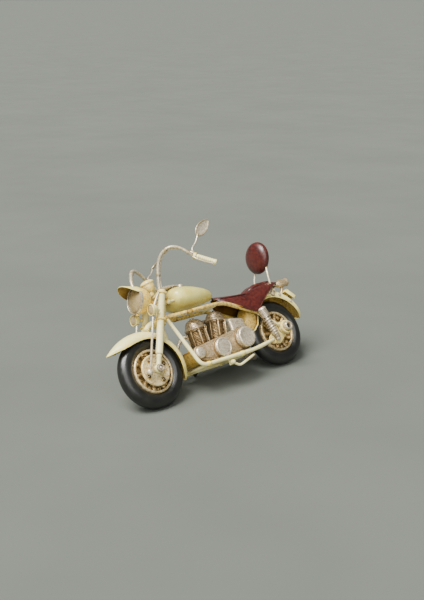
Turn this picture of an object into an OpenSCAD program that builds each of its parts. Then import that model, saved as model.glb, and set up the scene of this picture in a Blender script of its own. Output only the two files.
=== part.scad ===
// Tin model motorcycle, tipped over on its right-hand foot peg.
// Bike axes: X forward from the rear axle, Y to the rider's left, Z up, with Z = 0 at the axles.

/* [Wheels] */
// Outer radius of each tyre
tyre_r = 22; // [20:0.5:24]
// Radius of the tyre's round section
tyre_tube_r = 4.8; // [4.4:0.1:5]
// Radius where the tyre sits on the rim
rim_r = 13.4; // [13:0.1:14]
// Distance between the two axles
wheelbase = 104.5; // [102:0.5:108]
// Number of holes between the cast spokes
spoke_holes = 8; // [6:1:10]

/* [Stance] */
// Tilt to the right that brings the foot peg to the ground
lean = 33; // [32:0.5:34]
// Slope of the steering axis
rake = 27.2; // [26:0.2:28]

/* [Fork] */
// Distance of the fork legs in front of the steering axis
fork_offset = 5.4; // [5:0.1:6]
// Distance down the steering axis to the front axle
fork_drop = 35.4; // [34.5:0.1:36]
// Half the distance between the fork legs
fork_half_w = 9.4; // [9.2:0.1:10]
// Radius of the fork's painted tubes
fork_r = 2.2; // [1.9:0.1:2.3]
// Radius of the front axle
front_axle_r = 1.2; // [1:0.1:1.4]

/* [Frame] */
// Radius of the frame's round bars
bar_r = 1.25; // [1:0.05:1.4]
// Half the width of the lower cradle
cradle_half_w = 12; // [11.5:0.25:12.5]
// Radius of the rear axle
rear_axle_r = 1.2; // [1:0.1:1.4]
// Radius of the hole in the end of each rear axle socket
socket_bore_r = 1.8; // [1.7:0.1:2]

/* [Body] */
// Radius of the headlight's rim
headlight_r = 8.6; // [8:0.1:9]
// Half the width of both mudguards
guard_half_w = 6.8; // [6.4:0.1:7]
// Thickness of the pressed sheet
sheet_t = 0.6; // [0.5:0.05:0.7]

/* [Hidden] */
$fn = 48;
eps = 0.02;
gap = 0.3;                                  // clearance between pieces that move past each other
running = 0.05;                             // radial clearance of an axle in its bore
hull_fn = 28;

tube_centre_r = tyre_r - tyre_tube_r;
axle_h = tube_centre_r * cos(lean) + tyre_tube_r;   // height of the axles' middle when tipped over
box_mid_x = 51.3;                           // middle of the whole model, along the bike
box_mid_y = -25.98;                          // middle of the whole model, across the ground
head_x = wheelbase - fork_offset * cos(rake) - fork_drop * sin(rake);
head_z = fork_drop * cos(rake) - fork_offset * sin(rake);
head_low = -3;                              // ends of the steering head along its own axis
head_high = 12.5;
yoke_t = 1.6;
eye_half_w = 1.8;                           // half the width of the eye at the foot of each fork leg
stem_r = 1.6;
hub_half_w = 4.9;
plate_y = 5.4;                              // inner face of each brake plate
plate_t = 1.2;
plate_r = 9.7;
shock_y = 11.2;
exhaust_y = 16.3;                           // distance of the silencer from the middle
socket_y = 14.4;                            // inner end of each rear axle socket
socket_len = 2.8;

down_top = [81.5, 4, 27.8];
down_low = [75.5, cradle_half_w, -6.8];
cradle_back = [40, cradle_half_w, -7.4];
cradle_rise = [27, 12, -7];
cradle_end = [11.5, 10.6, -5.2];
rail_front = [81.9, 2.2, 29.3];
rail_wide = [66, 9, 27.9];
rail_bend = [40, 9, 27.8];
rail_low = [14.5, 9, 15];
shock_top = [12.6, shock_y, 16.4];
shock_foot = [8, shock_y, -5];
backrest_at = [-11.8, 0, 52];
sissy_points = [[-6, 7.5, 23], [-7.4, 7.5, 35.4], [-13.8, 4.6, 47]];
bar_points = [[82.4, 8.8, 46.4], [78.4, 12, 61.4], [72.6, 21, 69.2], [61.8, 26.4, 57.8]];
grip_end = [52.6, 33, 48.8];
// Foot, neck and tip of the left mirror, and of the right one, which is bent lower
left_mirror = [[61.6, 26.6, 58.4], [53.8, 26.6, 69.7], [42.6, 28.6, 77.6]];
right_mirror = [[61.6, -26.6, 58.4], [52.9, -29.7, 68.5], [41.2, -35.6, 73.2]];
mirror_half_w = 3.2;
stand_pivot = [52, cradle_half_w, -10.5];
peg_root = [62, -cradle_half_w, -6.9];
peg_tip = [57.6, -22, -8.2];
headlight_at = [96.9, 0, 44.8];
headlight_tilt = 14;
gauge_at = [82.9, 0, 51.2];
lamp_at = [95.4, 10.6, 34.9];
front_jug = [61.5, 0, 5.4];                 // foot of each cylinder, and its tilt to the back
front_jug_tilt = 2.5;
rear_jug = [47, 0, 7];
rear_jug_tilt = 17;
jug_r = 6.2;
jug_h = 11.4;
case_half_w = 7.6;

// ---------- helpers ----------

// Puts bike axes into the finished stance: front towards -X, tipped to its right
module bike() {
    translate([box_mid_x, box_mid_y, axle_h])
        rotate([0, 0, 180])
            rotate([lean, 0, 0])
                children();
}

// Axes of the steering: Z up along the steering axis, X square to it and forward
module steer() {
    translate([head_x, 0, head_z])
        rotate([0, -rake, 0])
            children();
}

module both_sides() {
    children();
    mirror([0, 1, 0]) children();
}

// Cylinder across the bike from y0 to y1
module across(y0, y1, r) {
    translate([0, y1, 0])
        rotate([90, 0, 0])
            cylinder(h = y1 - y0, r = r);
}

// Turns a profile (radius, side position) about the wheel's axis, from angle a0 to a1
module turned(a0 = 0, a1 = 360) {
    rotate([90, 0, 0])
        rotate([0, 0, a0])
            rotate_extrude(angle = a1 - a0, $fn = 96)
                children();
}

// Straight round bar
module rod(a, b, r) {
    d = b - a;
    translate(a)
        rotate([0, acos(d[2] / norm(d)), atan2(d[1], d[0])])
            cylinder(h = norm(d), r = r, $fn = 24);
}

function unit(v) = v / norm(v);

// Middle line of a bent bar: straight runs, with every corner rounded off over the length cut
function rounded(points, cut, steps = 5) = let (last = len(points) - 1) [
    points[0],
    for (i = [1 : last - 1])
        let (
            a = points[i] + unit(points[i - 1] - points[i]) * cut,
            b = points[i] + unit(points[i + 1] - points[i]) * cut
        )
        for (k = [0 : steps])
            let (t = k / steps)
            a * (1 - t) * (1 - t) + points[i] * 2 * t * (1 - t) + b * t * t,
    points[last]
];

// Round bar bent through several points
module bent_bar(points, r, cut) {
    path = rounded(points, cut);
    last = len(path) - 1;
    sides = 12;
    rings = [
        for (i = [0 : last])
            let (
                t = unit(path[min(i + 1, last)] - path[max(i - 1, 0)]),
                n = unit(cross(t, [0, 1, 0])),
                b = cross(t, n)
            )
            for (k = [0 : sides - 1])
                path[i] + r * (cos(k * 360 / sides) * n + sin(k * 360 / sides) * b)
    ];
    walls = [
        for (i = [0 : last - 1], k = [0 : sides - 1])
            let (
                a = i * sides + k,
                d = i * sides + (k + 1) % sides
            )
            for (face = [[a, a + sides, d + sides], [a, d + sides, d]]) face
    ];
    start = [for (k = [0 : sides - 1]) k];
    end = [for (k = [0 : sides - 1]) len(rings) - 1 - k];
    polyhedron(rings, concat([start], walls, [end]));
}

// Arch from the edges at low_r up to the top at top_r; a square value below 1 squares its corners
function arch(low_r, top_r, half_w, square) = [
    for (a = [0 : 15 : 180])
        [low_r + (top_r - low_r) * pow(sin(a), square), half_w * sign(cos(a)) * pow(abs(cos(a)), square)]
];

// Section of a pressed mudguard
module guard_section(low_r, top_r, square) {
    outer = arch(low_r, top_r, guard_half_w, square);
    inner = arch(low_r, top_r - sheet_t, guard_half_w - sheet_t, square);
    steps = len(inner) - 1;
    polygon(concat(outer, [for (i = [0 : steps]) inner[steps - i]]));
}

// Flat link with two round ends, in the bike's side plane
module link(a, b, ra, rb, y0, t) {
    span = b - a;
    turn = atan2(span[1], span[0]);
    dist = norm(span);
    lean_in = asin((ra - rb) / dist);
    translate([a[0], y0 + t, a[1]])
        rotate([90, -turn, 0])
            linear_extrude(t) {
                circle(r = ra);
                translate([dist, 0]) circle(r = rb);
                polygon([
                    [ra * sin(lean_in), ra * cos(lean_in)],
                    [dist + rb * sin(lean_in), rb * cos(lean_in)],
                    [dist + rb * sin(lean_in), -rb * cos(lean_in)],
                    [ra * sin(lean_in), -ra * cos(lean_in)]
                ]);
            }
}

// ---------- frame ----------

module steering_head() {
    color("cornsilk")
        bike() steer() difference() {
            translate([0, 0, head_low]) cylinder(h = head_high - head_low, r = 3.1);
            translate([0, 0, head_low - 1]) cylinder(h = head_high - head_low + 2, r = stem_r + running);
        }
}

module top_rails() {
    color("khaki")
        bike() both_sides()
            bent_bar([rail_front, rail_wide, rail_bend, rail_low], bar_r, 5);
}

module cradle() {
    color("lightyellow")
        bike() both_sides()
            bent_bar([down_top, down_low, cradle_back, cradle_rise, cradle_end], bar_r, 4);
}

// Bars between the two sides of the cradle, with their ends let into the bars they join
module cross_bars() {
    reach = cradle_half_w - bar_r + eps;
    color("lightyellow")
        bike() {
            for (p = [[70, -6.9], [42, -7.35]])
                translate([p[0], 0, p[1]]) across(-reach, reach, 1.1);
            translate([44, 0, rail_bend[2]]) across(-9 + bar_r - eps, 9 - bar_r + eps, 1.1);
        }
}

// Thin pan between the lower bars, turned up behind the front wheel
module floor_plate() {
    half = case_half_w - 0.4;
    color("darkkhaki")
        bike() {
            translate([44, -half, -5.78]) cube([28.5, 2 * half, 0.58]);
            translate([72.2, -half + 2, -5.78])
                rotate([0, -66, 0])
                    cube([12, 2 * half - 4, 0.58]);
        }
}

module axle_plates() {
    color("khaki")
        bike() both_sides() difference() {
            link([0, 0], [11.5, -5.2], 3.6, 2.2, 8.2, 1.2);
            across(6, 12, rear_axle_r);
        }
}

// Thin stays from the ends of the top rails down to the axle
module rear_stays() {
    color("khaki")
        bike() both_sides() rod(rail_low + [0, 0, -0.4], [2.2, 10.4, 2.2], 1);
}

module rear_axle() {
    color("silver")
        bike() across(-socket_y, socket_y, rear_axle_r);
}

module axle_flanges() {
    color("wheat")
        bike() both_sides() difference() {
            union() {
                across(9.4, 13.2, 3.0);
                across(13.2, socket_y, 4.2);
            }
            across(9, socket_y + 1, rear_axle_r);
        }
}

module axle_sockets() {
    color("silver")
        bike() both_sides() difference() {
            across(socket_y, socket_y + socket_len, 3.0);
            across(socket_y + 0.3, socket_y + socket_len + 1, socket_bore_r);
        }
}

module shock_covers() {
    mid = shock_top + (shock_foot - shock_top) * 0.5;
    color("gainsboro")
        bike() both_sides() rod(shock_top, mid, 2.6);
}

module shock_springs() {
    start = shock_top + (shock_foot - shock_top) * 0.5;
    step = (shock_foot - start) / 6;
    color("silver")
        bike() both_sides() {
            rod(start, shock_foot, 1.5);
            for (i = [0 : 5]) rod(start + step * (i + 0.25), start + step * (i + 0.75), 2.1);
        }
}

// Short fixed peg that the tipped bike stands on
module foot_peg() {
    color("dimgray")
        intersection() {
            bike() rod(peg_root, peg_tip, 1.3);
            translate([-200, -200, 0]) cube([400, 400, 200]);
        }
}

// Ear under the left lower bar, with the side stand's pivot pin
module stand_bracket() {
    color("khaki")
        bike() translate([stand_pivot[0], 0, stand_pivot[2]]) {
            translate([-1.4, stand_pivot[1] - 2.1, -1.4]) cube([2.8, 1, 4.6]);
            across(stand_pivot[1] - 1.1, stand_pivot[1] + 1.2, 0.6);
            across(stand_pivot[1] + 1.1, stand_pivot[1] + 1.6, 1.1);
        }
}

// ---------- engine ----------

module crankcase() {
    color("rosybrown")
        bike() crankcase_core();
}

module jug_frame(foot, tilt) {
    translate(foot)
        rotate([0, -tilt, 0])
            children();
}

module each_jug() {
    jug_frame(front_jug, front_jug_tilt) children();
    jug_frame(rear_jug, rear_jug_tilt) children();
}

module cylinders() {
    color("tan")
        bike() difference() {
            each_jug() {
                cylinder(h = jug_h, r = jug_r - 0.8);
                for (i = [0 : 7]) translate([0, 0, 1.6 + i * 1.25]) cylinder(h = 0.7, r = jug_r);
            }
            crankcase_core();
        }
}

// Crankcase in bike axes, which also seats the cylinders
module crankcase_core() {
    translate([37, -case_half_w, -4.8]) cube([29, 2 * case_half_w, 9]);
    translate([62, 0, 0.6]) across(-case_half_w, case_half_w, 5.75);
    translate([46, 0, 1.2]) across(-case_half_w, case_half_w, 6.3);
}

module cylinder_heads() {
    color("peru")
        bike() each_jug() translate([0, 0, jug_h]) {
            cylinder(h = 1.4, r = jug_r + 0.6);
            rotate_extrude() intersection() {
                translate([0, 1.4]) circle(r = jug_r);
                translate([0, 1.4]) square([jug_r, 5]);
            }
        }
}

module pushrod_tubes() {
    color("wheat")
        bike() difference() {
            each_jug() for (x = [-2.6, 2.6]) translate([x, 0, 0])
                translate([0, jug_r + 0.55, 0.6]) cylinder(h = jug_h - 0.6, r = 0.5);
            crankcase_core();
        }
}

module intake_pipe() {
    color("tan")
        bike() difference() {
            rod([61, -3, 16.8], [41, -3, 19], 1.3);
            each_jug() {
                cylinder(h = jug_h, r = jug_r);
                translate([0, 0, jug_h]) cylinder(h = 1.4, r = jug_r + 0.6);
                translate([0, 0, jug_h + 1.4]) sphere(r = jug_r);
            }
        }
}

// Plate between two round bosses of the engine cover
module cover_plate(a, ra, b, rb) {
    hull() {
        translate([a[0], 0, a[1]]) across(7.6, 9.6, ra, $fn = 48);
        translate([b[0], 0, b[1]]) across(7.6, 9.6, rb, $fn = 48);
    }
}

module primary_cover() {
    color("tan")
        bike() {
            cover_plate([71.2, 0.9], 4.3, [54, 0.2], 6.8);
            cover_plate([54, 0.2], 6.8, [34.4, 1.8], 7.4);
        }
}

module primary_caps() {
    color("silver")
        bike() {
            translate([71.6, 0, 1.4]) across(9.6, 11.8, 3.5);
            translate([53.6, 0, 0.3]) across(9.6, 12.6, 6.1);
            translate([34.4, 0, 1.9]) across(9.6, 14.2, 6.4);
        }
}

module oil_tank() {
    color("gainsboro")
        bike() {
            translate([26.2, -6, 8.4]) cube([9.4, 11.4, 8.6]);
            translate([26.2, 5.2, 8.4]) cube([12.6, 2.4, 8.6]);
            for (i = [0 : 3]) translate([27.2 + i * 3, 7.5, 8.4]) cube([1.6, 0.7, 8.6]);
        }
}

module exhaust_pipe() {
    color("tan")
        bike() {
            bent_bar([[62.5, -5, 14.4], [66.6, -9, 16], [73.4, -10.4, 8.4], [73.6, -14.6, -2], [66, -exhaust_y, -4.4],
                [46.5, -exhaust_y, -4]], 1.3, 3);
            bent_bar([[47, -6, 12.4], [48.6, -10.6, 10.6], [44, -exhaust_y, 3], [40, -exhaust_y, -3]], 1.3, 3);
        }
}

module silencer() {
    color("silver")
        bike() {
            rod([47, -exhaust_y, -4], [20, -exhaust_y, -7.4], 2.6);
            rod([20, -exhaust_y, -7.4], [17, -exhaust_y, -7.8], 1.5);
            translate([17.4, 0, 0]) rotate([90, 0, 0]) translate([0, -7.75, exhaust_y - 1])
                linear_extrude(2) polygon([[0, -1.2], [0, 1.2], [-8.5, 3.4], [-7, 0], [-8.5, -3.4]]);
        }
}

// ---------- tank, seat and tail ----------

// Teardrop of the tank, shrunk all round by inset
module tank_shape(inset) {
    hull() {
        for (side = [-1, 1]) {
            translate([68.6, side * 5.2, 38]) sphere(r = 5.8 - inset, $fn = hull_fn);
            translate([62, side * 4.4, 37.6]) sphere(r = 7 - inset, $fn = hull_fn);
            translate([50, side * 2.8, 36.4]) sphere(r = 4.6 - inset, $fn = hull_fn);
        }
        translate([65.6, 0, 39.8]) sphere(r = 7.4 - inset, $fn = hull_fn);
        translate([40.4, 0, 35.2]) sphere(r = 1.7 - inset, $fn = hull_fn);
    }
}

// Two pressed shells that meet on the middle seam
module fuel_tank() {
    color("palegoldenrod")
        bike() for (side = [0, 1]) mirror([0, side, 0]) intersection() {
            difference() {
                tank_shape(0);
                tank_shape(sheet_t);
            }
            cube([100, 40, 80]);
        }
}

// Rounded trim along the top of the tank, carrying the two fillers
module tank_console() {
    color("silver")
        bike() difference() {
            hull() {
                translate([73, 0, 46]) sphere(r = 2.8, $fn = hull_fn);
                translate([58, 0, 44.8]) sphere(r = 1.6, $fn = hull_fn);
            }
            tank_shape(0);
        }
}

module filler_cap() {
    color("silver")
        bike() for (s = [-1, 1]) translate([62.5, s * 4.6, 43.6])
            rotate([-s * 12, 0, 0]) {
                cylinder(h = 2, r = 1.9);
                translate([0, 0, 2]) cylinder(h = 0.7, r = 1.4);
            }
}

module tank_knobs() {
    color("ivory")
        bike() both_sides() translate([75.2, 7.6, 37.4]) {
            sphere(r = 1.5);
            rotate([0, -90, 0]) cylinder(h = 3, r = 0.6);
        }
}

module seat_pan() {
    color("khaki")
        bike() {
            translate([16, -8.6, 25.6]) cube([23, 17.2, 0.8]);
            translate([-10, -7.4, 27.8]) cube([22, 14.8, 0.8]);
            translate([11, -7.4, 25.6]) cube([5.2, 14.8, 0.8]);
            translate([11, -7.4, 25.6]) cube([1, 14.8, 3]);
        }
}

// Saddle, raised pillion pad and the two side skirts
module seat() {
    color("brown")
        bike() {
            hull() {
                translate([37.6, 0, 29.6]) sphere(r = 2.2, $fn = hull_fn);
                for (s = [-1, 1]) translate([20, s * 7.6, 28.4]) sphere(r = 2, $fn = hull_fn);
                for (s = [-1, 1]) translate([13, s * 6.6, 29.4]) sphere(r = 2, $fn = hull_fn);
            }
            hull() {
                for (s = [-1, 1]) translate([8, s * 6, 30.8]) sphere(r = 2.2, $fn = hull_fn);
                for (s = [-1, 1]) translate([-10, s * 5, 31.6]) sphere(r = 2, $fn = hull_fn);
                for (s = [-1, 1]) translate([13, s * 6, 29.6]) sphere(r = 1.6, $fn = hull_fn);
            }
            for (s = [-1, 1]) hull() {
                translate([33, s * 9.9, 28.4]) sphere(r = 0.6, $fn = 12);
                translate([0, s * 9.2, 28.4]) sphere(r = 0.6, $fn = 12);
                translate([15, s * 11.1, 15.8]) sphere(r = 0.6, $fn = 12);
                translate([18, s * 11.1, 17]) sphere(r = 0.6, $fn = 12);
            }
        }
}

module rear_mudguard() {
    color("khaki")
        bike() turned(12, 168) guard_section(22.9, 27.4, 0.6);
}

module guard_bolts() {
    color("silver")
        bike() both_sides() for (a = [118, 104]) rotate([0, -a, 0])
            translate([25.4, 0, 0]) across(guard_half_w, guard_half_w + 0.7, 0.6);
}

module plate_bracket() {
    color("khaki")
        bike() rotate([0, -138, 0]) {
            translate([32.6, -4.6, -3.8]) cube([0.8, 9.2, 7.6]);
            translate([30.4, 3.9, -3.8]) cube([2.2, 0.7, 7.6]);
            translate([30.4, -4.6, -3.8]) cube([2.2, 0.7, 7.6]);
            translate([27.4, -1.2, -1.2]) cube([5.2, 2.4, 2.4]);
        }
}

module tail_lamp() {
    color("silver")
        bike() {
            translate([-27, 0, 30.6]) rotate([0, 90, 0]) cylinder(h = 6.6, r = 2.7);
            translate([-20.4, 0, 30.6]) rotate([0, 90, 0]) cylinder(h = 2.6, r1 = 2.7, r2 = 1.2);
            translate([-23.6, 0, 27.6]) rotate([0, -150, 0]) rod([0, 0, -2.4], [0, 0, 2], 0.9);
        }
}

module tail_lens() {
    color("firebrick")
        bike() translate([-28.4, 0, 30.6]) rotate([0, 90, 0]) cylinder(h = 1.4, r = 2.3);
}

module sissy_bar() {
    color("silver")
        bike() both_sides()
            bent_bar(sissy_points, 0.7, 5);
}

module backrest() {
    color("brown")
        bike() translate(backrest_at) rotate([0, -10, 0]) difference() {
            hull() {
                rotate([0, 90, 0]) translate([0, 0, -2.4]) cylinder(h = 4.2, r = 10.9, $fn = 40);
                rotate([0, 90, 0]) translate([0, 0, -3.6]) cylinder(h = 7, r = 8.6, $fn = 40);
            }
            rotate([0, 10, 0]) translate(-backrest_at) both_sides()
                rod(sissy_points[1], sissy_points[2], 0.7);
        }
}

// ---------- steering ----------

module steering_stem() {
    color("silver")
        bike() steer()
            translate([0, 0, head_low - gap / 2]) cylinder(h = head_high - head_low + gap, r = stem_r);
}

module yoke_plate(z0) {
    translate([0, 0, z0]) linear_extrude(yoke_t) {
        difference() {
            union() {
                circle(r = 2.6);
                polygon([[-1.2, -2.4], [-1.2, 2.4], [fork_offset - 2, fork_half_w + 2], [fork_offset + 2.4, fork_half_w + 2],
                    [fork_offset + 2.4, -fork_half_w - 2], [fork_offset - 2, -fork_half_w - 2]]);
            }
            for (s = [-1, 1]) translate([fork_offset, s * fork_half_w]) circle(r = fork_r);
        }
    }
}

module fork_yokes() {
    color("khaki")
        bike() steer() {
            yoke_plate(head_low - gap / 2 - yoke_t);
            yoke_plate(head_high + gap / 2);
        }
}

module fork_tubes() {
    color("lightyellow")
        bike() steer() both_sides() translate([fork_offset, fork_half_w, -26.6])
            cylinder(h = 42, r = fork_r);
}

module fork_ends() {
    color("silver")
        bike() steer() both_sides() difference() {
            union() {
                translate([fork_offset, fork_half_w, -fork_drop + 1.6]) cylinder(h = fork_drop - 28.2, r = 1.5);
                translate([fork_offset, 0, -fork_drop])
                    across(fork_half_w - eye_half_w, fork_half_w + eye_half_w, 2.2);
            }
            translate([fork_offset, 0, -fork_drop]) across(0, 20, front_axle_r);
        }
}

module front_axle() {
    color("silver")
        bike() translate([wheelbase, 0, 0]) {
            across(-fork_half_w - eye_half_w, fork_half_w + eye_half_w, front_axle_r);
            both_sides() across(fork_half_w + eye_half_w, fork_half_w + eye_half_w + 1.4, 2.1);
        }
}

module front_mudguard() {
    flare = 7.2;
    top_r = 25.4;
    join = 102;
    color("lightyellow")
        bike() translate([wheelbase, 0, 0]) {
            turned(join, 202) guard_section(19.8, top_r, 1);
            translate([-flare * cos(join), 0, -flare * sin(join)])
                turned(40, join) guard_section(19.8 + flare, top_r + flare, 1);
        }
}

module guard_bracket() {
    color("khaki")
        bike() rod([96.4, 0, 25], [90.4, 0, 28.4], 1.7);
}

module headlight_frame() {
    translate(headlight_at)
        rotate([0, -headlight_tilt, 0])
            rotate([0, 90, 0])
                children();
}

module headlight_shell() {
    color("khaki")
        bike() {
            headlight_frame() difference() {
                union() {
                    translate([0, 0, -1.6]) cylinder(h = 1.6, r = headlight_r);
                    intersection() {
                        translate([0, 0, -1.6]) sphere(r = headlight_r - 0.5);
                        translate([0, 0, -11.6]) cylinder(h = 10, r = 20);
                    }
                }
                translate([0, 0, -1]) cylinder(h = 2, r = headlight_r - 1);
            }
            difference() {
                rod([86, 0, 39.6], [90.4, 0, 42], 2);
                headlight_frame() translate([0, 0, -1.6]) sphere(r = headlight_r - 0.5);
                steer() cylinder(h = head_high + 2, r = 3.1 + gap);
            }
        }
}

module headlight_lens() {
    color("silver")
        bike() headlight_frame() translate([0, 0, -1]) {
            cylinder(h = 0.8, r = headlight_r - 1);
            translate([0, 0, 0.8]) cylinder(h = 0.7, r1 = headlight_r - 1, r2 = headlight_r - 3.4);
        }
}

module headlight_visor() {
    color("khaki")
        bike() headlight_frame() rotate([0, 0, 180]) difference() {
            cylinder(h = 9.5, r = headlight_r);
            translate([0, 0, -1]) cylinder(h = 12, r = headlight_r - sheet_t);
            translate([-20, -20, -1]) cube([21, 40, 12]);
            for (s = [-1, 1]) translate([0, s * headlight_r, 0])
                rotate([s * 36, 0, 0]) translate([0, s > 0 ? 0 : -14, 0]) cube([20, 14, 20]);
        }
}

module lamp_frame() {
    both_sides() translate(lamp_at) rotate([0, -8, 0]) rotate([0, 90, 0]) children();
}

module lamp_shells() {
    color("lightyellow")
        bike() {
            lamp_frame() difference() {
                union() {
                    translate([0, 0, -0.8]) cylinder(h = 0.8, r = 3.5);
                    translate([0, 0, -4.6]) cylinder(h = 3.8, r1 = 1.2, r2 = 3.4);
                }
                translate([0, 0, -0.4]) cylinder(h = 2, r = 3);
            }
            both_sides() difference() {
                rod([90, 9.8, 33.4], [92.4, 10.2, 34.2], 0.9);
                steer() translate([fork_offset, fork_half_w, -26.6]) cylinder(h = 42, r = fork_r);
            }
        }
}

module lamp_lenses() {
    color("silver")
        bike() lamp_frame() translate([0, 0, -0.4]) cylinder(h = 0.9, r = 3);
}

module gauge() {
    color("cornsilk")
        bike() {
            translate(gauge_at) {
                sphere(r = 3.9);
                translate([0, 0, 1.6]) cylinder(h = 1.4, r = 4.4);
            }
            difference() {
                rod([82.6, 0, 44.4], [82.9, 0, 48], 1.6);
                translate(gauge_at) sphere(r = 3.9);
                steer() translate([-20, -20, head_high + gap / 2 + yoke_t - 10]) cube([40, 40, 10]);
            }
        }
}

module handlebar() {
    color("silver")
        bike() both_sides() bent_bar(bar_points, 0.95, 7);
}

module grips() {
    last = bar_points[len(bar_points) - 1];
    color("lemonchiffon")
        bike() both_sides() {
            rod(last, last + (grip_end - last) * 0.12, 2.1);
            rod(last + (grip_end - last) * 0.12, grip_end, 1.6);
        }
}

// Leaf-shaped mirror on a bent wire
module leaf_mirror(line) {
    reach = line[2] - line[1];
    half = norm(reach) / 2;
    bulge_r = (half * half + mirror_half_w * mirror_half_w) / (2 * mirror_half_w);
    bent_bar([line[0], line[0] + [-0.5, 0, 3.7], line[1] + reach * 0.1], 0.6, 2);
    translate(line[1])
        rotate([0, acos(reach[2] / norm(reach)), atan2(reach[1], reach[0])])
            rotate([90, 0, 0]) translate([0, half, -0.5]) linear_extrude(1) intersection() {
                translate([bulge_r - mirror_half_w, 0]) circle(r = bulge_r, $fn = 96);
                translate([mirror_half_w - bulge_r, 0]) circle(r = bulge_r, $fn = 96);
            }
}

module mirrors() {
    color("silver")
        bike() {
            leaf_mirror(left_mirror);
            leaf_mirror(right_mirror);
        }
}

module brake_plates() {
    color("palegoldenrod")
        bike() translate([wheelbase, 0, 0]) both_sides() difference() {
            union() {
                across(plate_y, plate_y + plate_t, plate_r);
                across(plate_y + plate_t, fork_half_w - eye_half_w, 2.4);
                for (a = [20, 110, 200, 290]) rotate([0, -a, 0])
                    translate([7.4, 0, 0]) across(plate_y + plate_t, plate_y + plate_t + 0.8, 1);
            }
            across(0, 20, front_axle_r);
        }
}

// Thin rods beside the fork, each with a ball on the brake plate
module brake_rods() {
    color("silver")
        bike() steer() both_sides() {
            rod([10.9, 9.7, 2.6], [10.9, 9.7, -37.8], 0.6);
            translate([10.9, 9.7, -38.6]) sphere(r = 1.7);
            translate([10.9, 0, -38.6]) across(plate_y + plate_t, 9, 0.9);
        }
}

// ---------- wheels ----------

module wheel(x, axle_r) {
    hole_ring = (rim_r - 1.2 + 4.4) / 2;
    hole_r = 2.3;
    bike() translate([x, 0, 0]) {
        turned() polygon([[rim_r - 1.1, -3.6], [rim_r, -3.6], [rim_r, 3.6], [rim_r - 1.1, 3.6]]);
        difference() {
            across(-1.3, 1.3, rim_r - 1.1);
            for (i = [0 : spoke_holes - 1]) rotate([0, i * 360 / spoke_holes, 0])
                translate([hole_ring, 0, 0]) across(-3, 3, hole_r);
            across(-3, 3, 3.6);
        }
        difference() {
            across(-hub_half_w, hub_half_w, 3.6);
            across(-10, 10, axle_r + running);
        }
    }
}

module tyre(x) {
    bike() translate([x, 0, 0]) turned() intersection() {
        translate([tube_centre_r, 0]) circle(r = tyre_tube_r);
        translate([rim_r, -10]) square([20, 20]);
    }
}

module front_wheel() {
    color("burlywood") wheel(wheelbase, front_axle_r);
}

module front_tyre() {
    color("black") tyre(wheelbase);
}

module rear_wheel() {
    color("burlywood") wheel(0, rear_axle_r);
}

module rear_tyre() {
    color("black") tyre(0);
}

// Bent wire stand, folded back under the left lower bar
module side_stand() {
    p = stand_pivot;
    color("silver")
        bike() difference() {
            union() {
                translate([p[0], 0, p[2]]) across(p[1] - 0.8, p[1] + 0.8, 1.5);
                bent_bar([p + [-0.9, 0, -0.9], p + [-4.6, 0, -3.4], p + [-18.8, 0, 0.2]], 0.75, 2.5);
            }
            translate([p[0], 0, p[2]]) across(p[1] - 5, p[1] + 5, 0.6 + running);
        }
}

steering_head();
top_rails();
cradle();
cross_bars();
floor_plate();
crankcase();
cylinders();
cylinder_heads();
pushrod_tubes();
intake_pipe();
primary_cover();
primary_caps();
oil_tank();
exhaust_pipe();
silencer();
fuel_tank();
tank_console();
filler_cap();
tank_knobs();
seat_pan();
seat();
rear_mudguard();
guard_bolts();
plate_bracket();
tail_lamp();
tail_lens();
sissy_bar();
backrest();
shock_covers();
shock_springs();
axle_plates();
rear_stays();
rear_axle();
axle_flanges();
axle_sockets();
foot_peg();
stand_bracket();
steering_stem();
fork_yokes();
fork_tubes();
fork_ends();
front_mudguard();
guard_bracket();
headlight_shell();
headlight_lens();
headlight_visor();
lamp_shells();
lamp_lenses();
gauge();
handlebar();
grips();
mirrors();
front_axle();
brake_plates();
brake_rods();
front_wheel();
front_tyre();
rear_wheel();
rear_tyre();
side_stand();
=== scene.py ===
"""Looks of the tin model motorcycle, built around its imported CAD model."""

import math

import bmesh
import bpy
from mathutils import Matrix, Vector


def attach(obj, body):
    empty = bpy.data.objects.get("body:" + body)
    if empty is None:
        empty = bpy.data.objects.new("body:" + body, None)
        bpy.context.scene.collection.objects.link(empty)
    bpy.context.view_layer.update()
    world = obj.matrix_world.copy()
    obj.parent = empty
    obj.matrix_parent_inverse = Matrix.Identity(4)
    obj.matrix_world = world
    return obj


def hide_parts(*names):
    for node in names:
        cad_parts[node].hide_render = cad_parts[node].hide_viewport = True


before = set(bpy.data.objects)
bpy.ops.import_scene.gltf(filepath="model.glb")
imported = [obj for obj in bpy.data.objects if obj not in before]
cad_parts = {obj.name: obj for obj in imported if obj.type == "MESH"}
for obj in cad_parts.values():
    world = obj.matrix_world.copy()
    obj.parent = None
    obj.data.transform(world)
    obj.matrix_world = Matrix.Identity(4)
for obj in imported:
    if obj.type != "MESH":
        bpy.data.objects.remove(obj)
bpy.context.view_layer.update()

# ---------------------------------------------------------------- sizes, in mm, as in the CAD source
MM = 0.001
LEAN = math.radians(33)
RAKE = math.radians(27.2)
WHEELBASE = 104.5
FORK_OFFSET = 5.4
FORK_DROP = 35.4
FORK_W = 9.4
TYRE_R = 22.0
TUBE_R = 4.8
TUBE_MID = TYRE_R - TUBE_R
CRADLE_W = 12.0
EXHAUST_Y = 16.3
AXLE_H = TUBE_MID * math.cos(LEAN) + TUBE_R
HEAD = Vector((
    WHEELBASE - FORK_OFFSET * math.cos(RAKE) - FORK_DROP * math.sin(RAKE),
    0,
    FORK_DROP * math.cos(RAKE) - FORK_OFFSET * math.sin(RAKE),
))
BOX_MID = (51.3, -25.98)

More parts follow.
